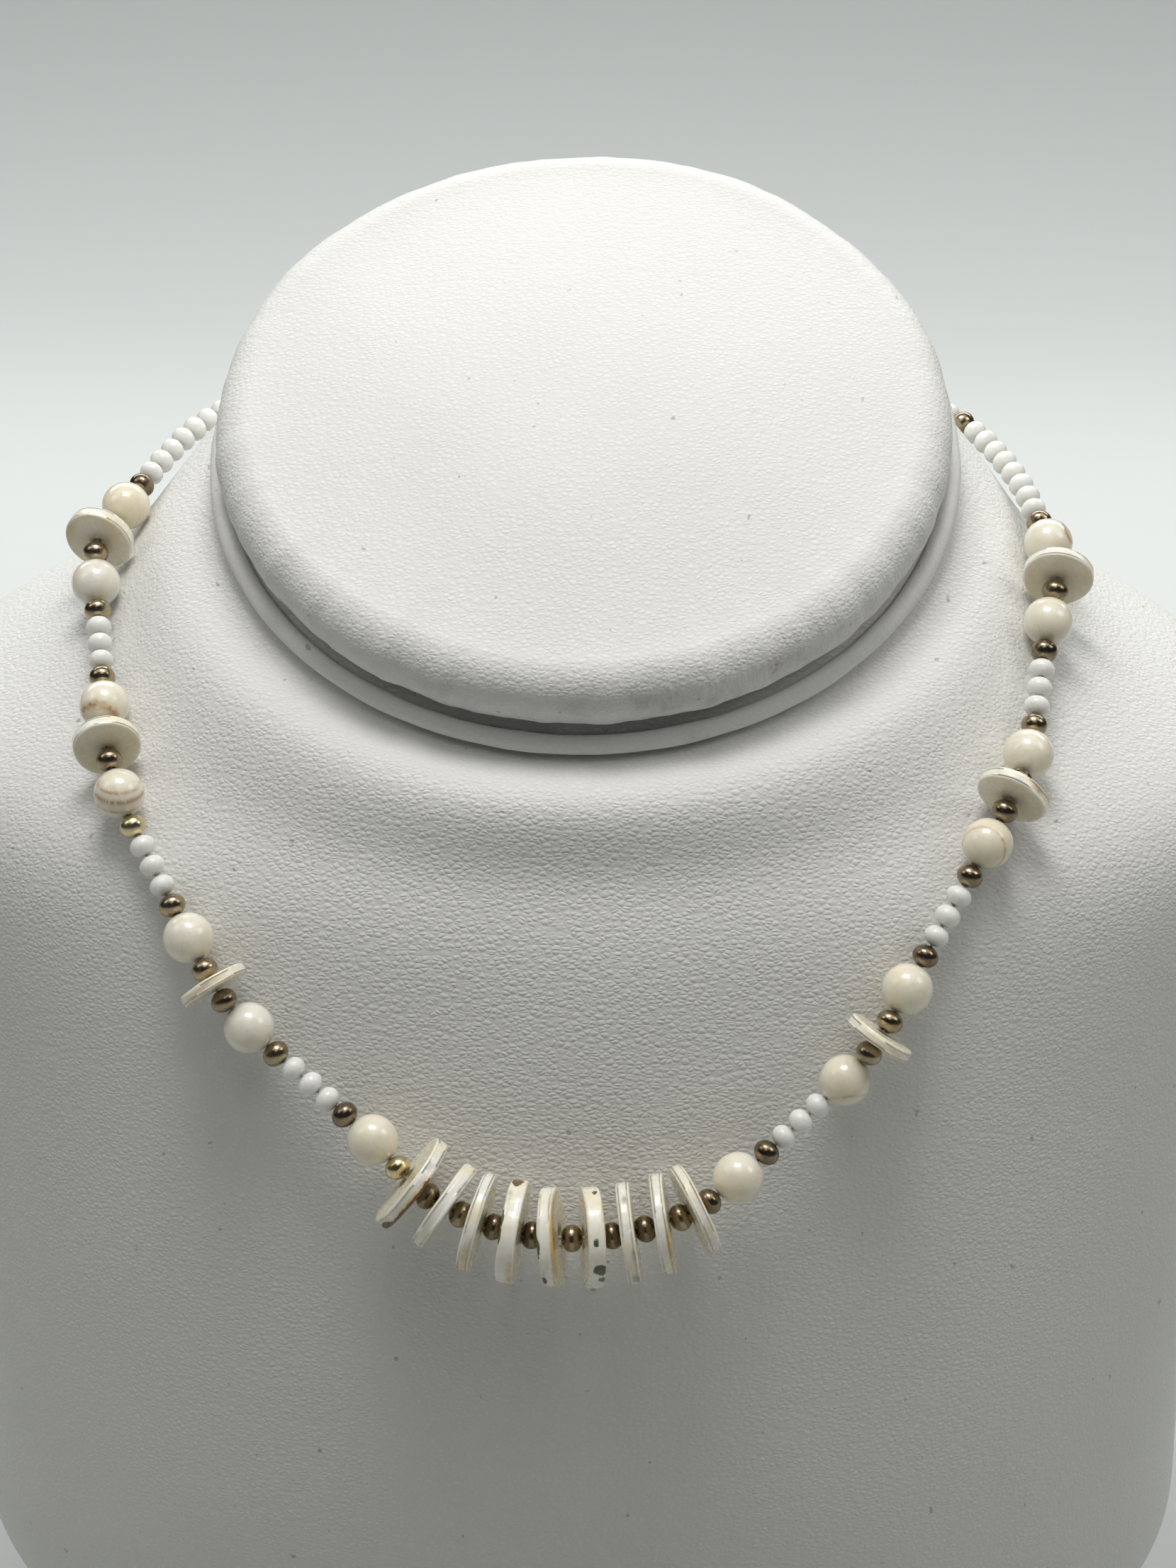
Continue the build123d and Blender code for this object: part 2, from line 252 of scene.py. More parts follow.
@dataclass
class Seat:
    """Where a drilled thing sits: its middle, the way along its hole, and up and across square to that."""

    middle: Array
    along: Array
    up: Array
    across: Array

    @staticmethod
    def of(solid: Solid) -> "Seat":
        """Finds the seat of a drilled solid.

        Its middle is the mean place of its surface. The wall of the hole is the faces that look towards
        the middle, and the hole's way is the direction that those faces look along least.

        Args:
            solid: the drilled solid.

        Returns:
            Its seat, with the hole's way pointing to the viewer's right and up as high as it can be.
        """
        corners = solid.corners()
        normals = np.cross(corners[:, 1] - corners[:, 0], corners[:, 2] - corners[:, 0])
        areas = np.linalg.norm(normals, axis=1)
        places = corners.mean(axis=1)
        middle = (places * areas[:, None]).sum(axis=0) / areas.sum()
        wall = ((places - middle) * normals).sum(axis=1) < 0
        facing = normals[wall] / np.sqrt(np.maximum(areas[wall], 1e-12))[:, None]
        along = np.linalg.eigh(facing.T @ facing)[1][:, 0]
        along = along * (1 if along[0] > 0 else -1)
        up = unit(np.array([0, 0, 1.0]) - along * along[2])
        return Seat(middle, along, up, np.cross(along, up))

    def place(self, up: Array, across: Array, along: Array) -> Array:
        """Points given by their distances up, across and along, in the model's frame."""
        square_on = self.middle + up[..., None] * self.up + across[..., None] * self.across
        return square_on + along[..., None] * self.along

    def front(self, flatness: float = 0.6) -> float:
        """1 where across points out of the bust, and -1 where it points into it.

        Out of the bust is the level way from its middle, with the sideways part cut to the flatness,
        because the bust is wider than it is deep.
        """
        outward = np.array([self.middle[0] * flatness, self.middle[1], 0.0])
        return float(np.sign(self.across @ unit(outward)))


def turned(seat: Seat, profile: Array, columns: int) -> tuple[Array, Array]:
    """A closed profile turned about a seat's hole.

    A profile point (r, h) at angle a goes to r cos a upwards, r sin a across and h along the hole.

    Args:
        seat: where the thing sits.
        profile: points (r, h) round the closed section, hole wall included.
        columns: steps round the hole.

    Returns:
        The points as a grid of rows by columns, and the same points in the thing's own axes.
    """
    angle = circle(columns)
    up = profile[:, :1] * np.cos(angle)
    across = profile[:, :1] * np.sin(angle)
    along = np.repeat(profile[:, 1:], columns, axis=1)
    return seat.place(up, across, along), np.stack([up, across, along], axis=-1)


# Shader node helpers


class Nodes:
    """Adds nodes to a tree and joins them with few words."""

    def __init__(self, tree: bpy.types.NodeTree) -> None:
        """Starts on an empty tree."""
        self.tree = tree
        self.count = 0

    def add(self, kind: str, inputs: dict | None = None, **settings: object) -> bpy.types.Node:
        """Adds a node.

        Args:
            kind: the node's type, such as ShaderNodeMix.
            inputs: sockets by name or number, each with a value or the output that feeds it.
            settings: the node's own properties.

        Returns:
            The new node.
        """
        node = self.tree.nodes.new(kind)
        node.location = (220 * (self.count % 12), -260 * (self.count // 12))
        self.count += 1
        for name, value in settings.items():
            setattr(node, name, value)
        return self.feed_all(node, inputs or {})

    def feed(self, socket: bpy.types.NodeSocket, value: object) -> None:
        """Joins an output to a socket, or sets the socket's own value."""
        if isinstance(value, bpy.types.NodeSocket):
            self.tree.links.new(value, socket)
        else:
            socket.default_value = value

    def feed_all(self, node: bpy.types.Node, inputs: dict) -> bpy.types.Node:
        """Joins or sets several sockets of a node, by name or number."""
        for name, value in inputs.items():
            self.feed(node.inputs[name], value)
        return node

    def math(self, operation: str, *values: object, clamp: bool = False) -> bpy.types.NodeSocket:
        """The result of one sum on numbers."""
        node = self.add("ShaderNodeMath", dict(enumerate(values)), operation=operation, use_clamp=clamp)
        return node.outputs[0]

    def vector(self, operation: str, first: object, second: object) -> bpy.types.NodeSocket:
        """The result of one sum on two vectors."""
        return self.add("ShaderNodeVectorMath", {0: first, 1: second}, operation=operation).outputs[0]

    def remap(
        self, value: object, low: float, high: float, to_low: float = 0.0, to_high: float = 1.0
    ) -> bpy.types.NodeSocket:
        """A value eased from one range to another and held at its ends."""
        inputs = {"Value": value, "From Min": low, "From Max": high, "To Min": to_low, "To Max": to_high}
        return self.add("ShaderNodeMapRange", inputs, interpolation_type="SMOOTHSTEP").outputs["Result"]

    def mix(self, share: object, first: object, second: object) -> bpy.types.NodeSocket:
        """Two colours mixed by a share."""
        inputs = {0: share, 6: first, 7: second}
        return self.add("ShaderNodeMix", inputs, data_type="RGBA").outputs[2]

    def noise(
        self, vector: object, scale: object, detail: float = 3.0, rough: float = 0.5, warp: float = 0.0
    ) -> bpy.types.NodeSocket:
        """A noise value between 0 and 1."""
        inputs = {"Vector": vector, "Scale": scale, "Detail": detail, "Roughness": rough, "Distortion": warp}
        return self.add("ShaderNodeTexNoise", inputs).outputs["Fac"]

    def attribute(self, name: str, output: str = "Fac") -> bpy.types.NodeSocket:
        """A value kept on the piece's points."""
        return self.add("ShaderNodeAttribute", attribute_name=name).outputs[output]

    def group(self, tree: bpy.types.NodeTree, inputs: dict) -> bpy.types.Node:
        """Places a node group with its own values."""
        return self.feed_all(self.add("ShaderNodeGroup", node_tree=tree), inputs)

    def bump(
        self, height: object, depth: float, strength: float, normal: object | None = None
    ) -> bpy.types.NodeSocket:
        """A normal bent by a height, whose full rise is depth in metres."""
        inputs = {"Height": height, "Distance": depth, "Strength": strength}
        if normal is not None:
            inputs["Normal"] = normal
        return self.add("ShaderNodeBump", inputs).outputs["Normal"]


def new_group(name: str, inputs: dict, outputs: dict) -> tuple[Nodes, bpy.types.Node, bpy.types.Node]:
    """A shader node group with named sockets.

    Args:
        name: the group's name.
        inputs: socket type, or a default number, by name.
        outputs: socket type by name.

    Returns:
        Its node helper, its input node and its output node.
    """
    tree = bpy.data.node_groups.new(name, "ShaderNodeTree")
    for socket, value in inputs.items():
        kind = value if isinstance(value, str) else "NodeSocketFloat"
        made = tree.interface.new_socket(name=socket, in_out="INPUT", socket_type=kind)
        if not isinstance(value, str):
            made.default_value = value
    for socket, kind in outputs.items():
        tree.interface.new_socket(name=socket, in_out="OUTPUT", socket_type=kind)
    nodes = Nodes(tree)
    return nodes, nodes.add("NodeGroupInput"), nodes.add("NodeGroupOutput")


class Effects:
    """The effects that several finishes share, each built once as a node group."""

    def __init__(self) -> None:
        """Builds every group."""
        self.grain = self.pebble_grain()
        self.wear = self.worn_marks()
        self.layers = self.shell_layers()

    @staticmethod
    def pebble_grain() -> bpy.types.NodeTree:
        """Leatherette's pebbles: low rounded cells, drawn out sideways, with soft creases between them."""
        nodes, given, result = new_group(
            "pebble_grain",
            {"Vector": "NodeSocketVector", "Cells": 1400.0, "Warp": 0.0007},
            {"Height": "NodeSocketFloat", "Crease": "NodeSocketFloat"},
        )
        vector = given.outputs["Vector"]
        wander = nodes.add("ShaderNodeTexNoise", {"Vector": vector, "Scale": 520.0, "Detail": 3.0})
        centred = nodes.vector("SUBTRACT", wander.outputs["Color"], (0.5, 0.5, 0.5))
        amount = {0: centred, "Scale": given.outputs["Warp"]}
        shift = nodes.add("ShaderNodeVectorMath", amount, operation="SCALE").outputs[0]
        place = nodes.vector("ADD", vector, shift)
        drawn = nodes.vector("MULTIPLY", place, (0.62, 1.0, 1.0))
        cells = {"Vector": drawn, "Scale": given.outputs["Cells"], "Randomness": 1.0}
        edges = nodes.add("ShaderNodeTexVoronoi", cells, feature="DISTANCE_TO_EDGE").outputs["Distance"]
        cells["Smoothness"] = 0.8
        middles = nodes.add("ShaderNodeTexVoronoi", cells, feature="SMOOTH_F1").outputs["Distance"]
        fine = nodes.noise(place, 2600.0, 3.0, 0.6)
        pebble = nodes.remap(edges, 0.0, 0.34)
        dome = nodes.math("SUBTRACT", 1.0, middles)
        height = nodes.math("MULTIPLY_ADD", dome, 0.6, nodes.math("MULTIPLY", pebble, 0.26))
        height = nodes.math("MULTIPLY_ADD", fine, 0.2, height)
        nodes.feed_all(result, {"Height": height, "Crease": nodes.math("SUBTRACT", 1.0, pebble)})
        return nodes.tree

    @staticmethod
    def worn_marks() -> bpy.types.NodeTree:
        """Marks that are dense where a mask is high: broken smears and small specks."""
        nodes, given, result = new_group(
            "worn_marks",
            {"Vector": "NodeSocketVector", "Mask": 0.0, "Smear Scale": 160.0, "Speck Scale": 620.0},
            {"Smear": "NodeSocketFloat", "Specks": "NodeSocketFloat"},
        )
        vector, mask = given.outputs["Vector"], given.outputs["Mask"]
        broad = nodes.noise(vector, given.outputs["Smear Scale"], 6.0, 0.65)
        smear = nodes.remap(nodes.math("MULTIPLY_ADD", mask, 0.55, broad), 0.72, 1.02)
        small = nodes.noise(vector, given.outputs["Speck Scale"], 2.0, 0.5)
        specks = nodes.remap(nodes.math("MULTIPLY_ADD", mask, 0.08, small), 0.745, 0.78)
        nodes.feed_all(result, {"Smear": nodes.math("MULTIPLY", smear, mask), "Specks": specks})
        return nodes.tree

    @staticmethod
    def shell_layers() -> bpy.types.NodeTree:
        """Grown layers of shell: wandering bands, broad clouds and a fine grain."""
        nodes, given, result = new_group(
            "shell_layers",
            {"Vector": "NodeSocketVector", "Seed": 0.0, "Bands": 900.0, "Wander": 0.35},
            {"Band": "NodeSocketFloat", "Cloud": "NodeSocketFloat", "Fine": "NodeSocketFloat"},
        )
        seed = given.outputs["Seed"]
        shift = nodes.add("ShaderNodeCombineXYZ", {0: seed, 1: nodes.math("MULTIPLY", seed, 1.7)}).outputs[0]
        place = nodes.vector("ADD", given.outputs["Vector"], shift)
        cloud = nodes.noise(place, 260.0, 4.0, 0.55, 0.6)
        fine = nodes.noise(place, 1500.0, 4.0, 0.6)
        axis = nodes.add("ShaderNodeSeparateXYZ", {0: given.outputs["Vector"]}).outputs[2]
        bend = nodes.math("MULTIPLY", nodes.math("SUBTRACT", cloud, 0.5), given.outputs["Wander"])
        run = nodes.math("MULTIPLY_ADD", axis, given.outputs["Bands"], nodes.math("MULTIPLY", bend, 12.0))
        wave = nodes.math("SINE", nodes.math("MULTIPLY", run, 6.2832))
        second = nodes.math("SINE", nodes.math("MULTIPLY", run, 14.3))
        band = nodes.math("MULTIPLY_ADD", wave, 0.3, nodes.math("MULTIPLY_ADD", second, 0.2, 0.5), clamp=True)
        nodes.feed_all(result, {"Band": band, "Cloud": cloud, "Fine": fine})
        return nodes.tree


def new_material(name: str) -> tuple[bpy.types.Material, Nodes, bpy.types.Node]:
    """A material with its shader joined to its output, and a helper for more nodes."""
    material = bpy.data.materials.new(name)
    material.use_nodes = True
    material.node_tree.nodes.clear()
    nodes = Nodes(material.node_tree)
    output = nodes.add("ShaderNodeOutputMaterial")
    shader = nodes.add("ShaderNodeBsdfPrincipled")
    nodes.tree.links.new(shader.outputs[0], output.inputs["Surface"])
    return material, nodes, shader


def own_layers(
    nodes: Nodes, effects: Effects, bands: float = 900.0, wander: float = 0.35
) -> tuple[bpy.types.NodeSocket, ...]:
    """The shell layers of a bead or disc, in its own place and started by its own seed.

    Args:
        nodes: the material's node helper.
        effects: the shared node groups.
        bands: how many bands there are in a metre.
        wander: how far the bands bend.

    Returns:
        The own place, and the band, the cloud and the fine grain there.
    """
    place = nodes.attribute("own_place", "Vector")
    inputs = {"Vector": place, "Seed": nodes.attribute("seed"), "Bands": bands, "Wander": wander}
    layers = nodes.group(effects.layers, inputs)
    return place, *(layers.outputs[name] for name in ("Band", "Cloud", "Fine"))


# Finishes


class Tint(Enum):
    """The colours that mark a shell disc, each kept on its points under its own name."""

    AMBER = "amber"
    ASH = "ash"
    CRUST = "crust"
    MOSS = "moss"


@dataclass(frozen=True)
class LeatheretteFinish:
    """White leatherette with pebble grain and painted shade in its creases, soft dents, smears and specks,
    and fine wrinkles over a rim.
    """

    name: str
    color: tuple = (0.80, 0.80, 0.775, 1.0)
    tired: tuple = (0.72, 0.72, 0.70, 1.0)
    # Painted shade: the colour laid into the creases between the pebbles.
    crease_shade_color: tuple = (0.70, 0.695, 0.665, 1.0)
    smear_color: tuple = (0.30, 0.27, 0.23, 1.0)
    cells_per_metre: float = 1900.0
    grain_depth: float = 0.00017
    dent_depth: float = 0.0005
    wrinkle_depth: float = 0.0

    def build(self, effects: Effects) -> bpy.types.Material:
        """Makes the material.

        Args:
            effects: the shared node groups.

        Returns:
            The material, which reads Object coordinates and the piece's own wear value.
        """
        material, nodes, shader = new_material(self.name)
        place = nodes.add("ShaderNodeTexCoord").outputs["Object"]
        worn = nodes.attribute("worn")
        grain = nodes.group(effects.grain, {"Vector": place, "Cells": self.cells_per_metre})
        marks = nodes.group(effects.wear, {"Vector": place, "Mask": worn})
        tone = nodes.noise(place, 24.0, 3.0, 0.5)
        # Painted shade: the creases between the pebbles are darkened in the colour, where shade would fall in
        # them.
        crease_shade_share = nodes.math("MULTIPLY", grain.outputs["Crease"], 0.35)
        color = nodes.mix(crease_shade_share, self.color, self.crease_shade_color)
        color = nodes.mix(nodes.remap(tone, 0.3, 0.75, 0.0, 0.3), color, self.tired)
        color = nodes.mix(nodes.math("MULTIPLY", marks.outputs["Smear"], 0.75), color, self.smear_color)
        color = nodes.mix(nodes.math("MULTIPLY", marks.outputs["Specks"], 0.55), color, self.smear_color)
        rough = nodes.remap(tone, 0.3, 0.75, 0.42, 0.54)
        rough = nodes.math("MULTIPLY_ADD", grain.outputs["Crease"], 0.16, rough)
        rough = nodes.math("MULTIPLY_ADD", marks.outputs["Smear"], 0.15, rough)
        normal = nodes.bump(nodes.noise(place, 55.0, 2.0, 0.4), self.dent_depth, 0.35)
        if self.wrinkle_depth:
            lines = nodes.noise(nodes.attribute("rim_run", "Vector"), 780.0, 3.0, 0.6)
            lines = nodes.math("MULTIPLY", nodes.remap(lines, 0.35, 0.65), nodes.attribute("wrinkled"))
            normal = nodes.bump(lines, self.wrinkle_depth, 0.9, normal)
        normal = nodes.bump(grain.outputs["Height"], self.grain_depth, 0.9, normal)
        looks = {"Base Color": color, "Roughness": rough, "Normal": normal, "Specular IOR Level": 0.42}
        nodes.feed_all(shader, looks)
        return material


@dataclass(frozen=True)
class NacreFinish:
    """Glossy nacre rounds: cream clouds, tan stripes where the bead has them, and a pearly film."""

    name: str = "nacre_rounds"
    cream: tuple = (0.87, 0.79, 0.60, 1.0)
    white: tuple = (0.88, 0.86, 0.78, 1.0)
    tan: tuple = (0.50, 0.31, 0.15, 1.0)
    band: tuple = (0.72, 0.63, 0.48, 1.0)
    shade: tuple = (0.66, 0.62, 0.54, 1.0)

    def build(self, effects: Effects) -> bpy.types.Material:
        """Makes the material, which reads each bead's own place, tint and stripes."""
        material, nodes, shader = new_material(self.name)
        _, band, cloud, fine = own_layers(nodes, effects, bands=420.0, wander=0.5)
        pale = nodes.math("MULTIPLY", nodes.remap(cloud, 0.35, 0.7), 0.3)
        warm = nodes.math("MULTIPLY_ADD", nodes.attribute("warmth"), 0.8, pale, clamp=True)
        color = nodes.mix(warm, self.white, self.cream)
        color = nodes.mix(nodes.math("MULTIPLY", nodes.remap(band, 0.45, 0.95), 0.22), color, self.band)
        color = nodes.mix(nodes.remap(cloud, 0.52, 0.72, 0.0, 0.35), color, self.shade)
        broken = nodes.math("MULTIPLY", nodes.attribute("stripe"), nodes.remap(band, 0.15, 0.6, 0.5, 1.0))
        looks = {
            "Base Color": nodes.mix(broken, color, self.tan),
            "Roughness": nodes.remap(fine, 0.3, 0.7, 0.16, 0.26),
            "Normal": nodes.bump(fine, 0.000012, 0.4),
            "Subsurface Weight": 0.6,
            "Subsurface Radius": (1.0, 0.8, 0.5),
            "Subsurface Scale": 0.0022,
            "Coat Weight": 0.6,
            "Coat Roughness": 0.12,
            "Specular IOR Level": 0.62,
        }
        nodes.feed_all(shader, looks)
        return material


@dataclass(frozen=True)
class ShellFinish:
    """Sawn shell discs: cream layers, yellow faces, and brown, green and grey patches on their rims."""

    name: str = "shell_discs"
    cream: tuple = (0.90, 0.84, 0.66, 1.0)
    white: tuple = (0.93, 0.915, 0.85, 1.0)
    yellow: tuple = (0.84, 0.76, 0.52, 1.0)
    amber: tuple = (0.64, 0.45, 0.18, 1.0)
    crust: tuple = (0.17, 0.09, 0.03, 1.0)
    moss: tuple = (0.10, 0.12, 0.055, 1.0)
    ash: tuple = (0.44, 0.44, 0.37, 1.0)
    band: tuple = (0.66, 0.60, 0.47, 1.0)

    def build(self, effects: Effects) -> bpy.types.Material:
        """Makes the material, which reads each disc's own place and its painted marks."""
        material, nodes, shader = new_material(self.name)
        _, band, cloud, fine = own_layers(nodes, effects, bands=520.0, wander=0.22)
        color = nodes.mix(nodes.remap(cloud, 0.38, 0.62), self.cream, self.white)
        color = nodes.mix(nodes.math("MULTIPLY", nodes.attribute("face"), 0.75), color, self.yellow)
        color = nodes.mix(nodes.math("MULTIPLY", nodes.remap(band, 0.5, 1.0), 0.13), color, self.band)
        ragged = nodes.math("MULTIPLY_ADD", fine, 1.8, nodes.math("MULTIPLY", cloud, 1.4))
        ragged = nodes.math("SUBTRACT", ragged, 0.6)
        for tint, stain, low, high in (
            (Tint.AMBER, self.amber, 0.15, 0.75),
            (Tint.ASH, self.ash, 0.2, 0.8),
            (Tint.CRUST, self.crust, 0.36, 0.5),
            (Tint.MOSS, self.moss, 0.36, 0.56),
        ):
            share = nodes.math("MULTIPLY", nodes.attribute(tint.value), ragged)
            color = nodes.mix(nodes.remap(share, low, high), color, stain)
        looks = {
            "Base Color": color,
            "Roughness": nodes.remap(fine, 0.3, 0.7, 0.18, 0.36),
            "Normal": nodes.bump(fine, 0.000006, 0.4),
            "Subsurface Weight": 0.3,
            "Subsurface Radius": (1.0, 0.78, 0.5),
            "Subsurface Scale": 0.001,
            "Coat Weight": 0.4,
            "Coat Roughness": 0.1,
        }
        nodes.feed_all(shader, looks)
        return material


@dataclass(frozen=True)
class BronzeFinish:
    """Polished bronze-coloured metal with darker and paler beads and worn high spots."""

    name: str
    dark: tuple = (0.20, 0.15, 0.105, 1.0)
    mid: tuple = (0.37, 0.295, 0.20, 1.0)
    pale: tuple = (0.72, 0.62, 0.38, 1.0)

    def build(self, effects: Effects) -> bpy.types.Material:
        """Makes the material, which reads each bead's own place and tone."""
        material, nodes, shader = new_material(self.name)
        place, _, cloud, fine = own_layers(nodes, effects)
        tone = nodes.attribute("tone")
        worn = {"Vector": place, "Mask": 0.6, "Smear Scale": 500.0, "Speck Scale": 1500.0}
        marks = nodes.group(effects.wear, worn)
        color = nodes.mix(nodes.remap(tone, 0.0, 0.5), self.dark, self.mid)
        color = nodes.mix(nodes.remap(tone, 0.5, 1.0), color, self.pale)
        patina = nodes.math("MULTIPLY", nodes.remap(cloud, 0.45, 0.75), 0.4)
        color = nodes.mix(patina, color, self.dark)
        looks = {
            "Base Color": nodes.mix(nodes.math("MULTIPLY", marks.outputs["Smear"], 0.5), color, self.pale),
            "Roughness": nodes.remap(fine, 0.3, 0.7, 0.14, 0.3),
            "Normal": nodes.bump(fine, 0.00003, 0.5),
            "Metallic": 1.0,
        }
        nodes.feed_all(shader, looks)
        return material


@dataclass(frozen=True)
class MilkGlassFinish:
    """Milky white beads that let a little light in."""

    name: str = "milky_white_beads"
    color: tuple = (0.90, 0.89, 0.83, 1.0)
    shade: tuple = (0.80, 0.79, 0.73, 1.0)

    def build(self, effects: Effects) -> bpy.types.Material:
        """Makes the material, which reads each bead's own place and seed."""
        material, nodes, shader = new_material(self.name)
        _, _, cloud, fine = own_layers(nodes, effects)
        looks = {
            "Base Color": nodes.mix(nodes.remap(cloud, 0.35, 0.75), self.color, self.shade),
            "Roughness": nodes.remap(fine, 0.3, 0.7, 0.2, 0.34),
            "Normal": nodes.bump(fine, 0.00003, 0.5),
            "Subsurface Weight": 0.9,
            "Subsurface Radius": (1.0, 0.95, 0.85),
            "Subsurface Scale": 0.0022,
        }
        nodes.feed_all(shader, looks)
        return material


@dataclass(frozen=True)
class ThreadFinish:
    """A pale twisted strand, with painted shade in the grooves of its twist."""

    name: str = "beading_thread"
    color: tuple = (0.74, 0.71, 0.63, 1.0)
    # Painted shade: the darker colour given to the hollows of the twist.
    groove_shade: tuple = (0.42, 0.39, 0.33, 1.0)

    def build(self) -> bpy.types.Material:
        """Makes the material, which reads Object coordinates."""
        material, nodes, shader = new_material(self.name)
        place = nodes.add("ShaderNodeTexCoord").outputs["Object"]
        wave = {"Vector": place, "Scale": 1100.0, "Distortion": 1.5, "Detail": 1.0}
        twist = nodes.add("ShaderNodeTexWave", wave, bands_direction="DIAGONAL").outputs["Fac"]
        looks = {
            # Painted shade: the low parts of the twist take the darker groove colour.
            "Base Color": nodes.mix(twist, self.groove_shade, self.color),
            "Roughness": nodes.remap(nodes.noise(place, 900.0), 0.3, 0.7, 0.6, 0.8),
            "Normal": nodes.bump(twist, 0.00005, 0.7),
        }
        nodes.feed_all(shader, looks)
        return material


@dataclass(frozen=True)
class ClaspFinish:
    """Bronze-coloured metal turned on a lathe, a little worn."""

    name: str = "clasp_metal"
    dark: tuple = (0.22, 0.155, 0.07, 1.0)
    mid: tuple = (0.47, 0.36, 0.19, 1.0)
    rubbed: tuple = (0.66, 0.55, 0.33, 1.0)

    def build(self, effects: Effects) -> bpy.types.Material:
        """Makes the material, which reads Object coordinates."""
        material, nodes, shader = new_material(self.name)
        place = nodes.add("ShaderNodeTexCoord").outputs["Object"]
        wave = {"Vector": place, "Scale": 900.0, "Distortion": 0.8, "Detail": 2.0}
        lines = nodes.add("ShaderNodeTexWave", wave, bands_direction="X").outputs["Fac"]
        worn = {"Vector": place, "Mask": 0.7, "Smear Scale": 300.0, "Speck Scale": 1100.0}
        marks = nodes.group(effects.wear, worn)
        cloud = nodes.remap(nodes.noise(place, 320.0, 4.0, 0.6), 0.35, 0.7)
        color = nodes.mix(cloud, self.mid, self.dark)
        looks = {
            "Base Color": nodes.mix(nodes.math("MULTIPLY", marks.outputs["Smear"], 0.5), color, self.rubbed),
            "Roughness": nodes.remap(lines, 0.0, 1.0, 0.2, 0.34),
            "Normal": nodes.bump(lines, 0.00001, 0.5),
            "Metallic": 1.0,
        }
        nodes.feed_all(shader, looks)
        return material


# The pieces


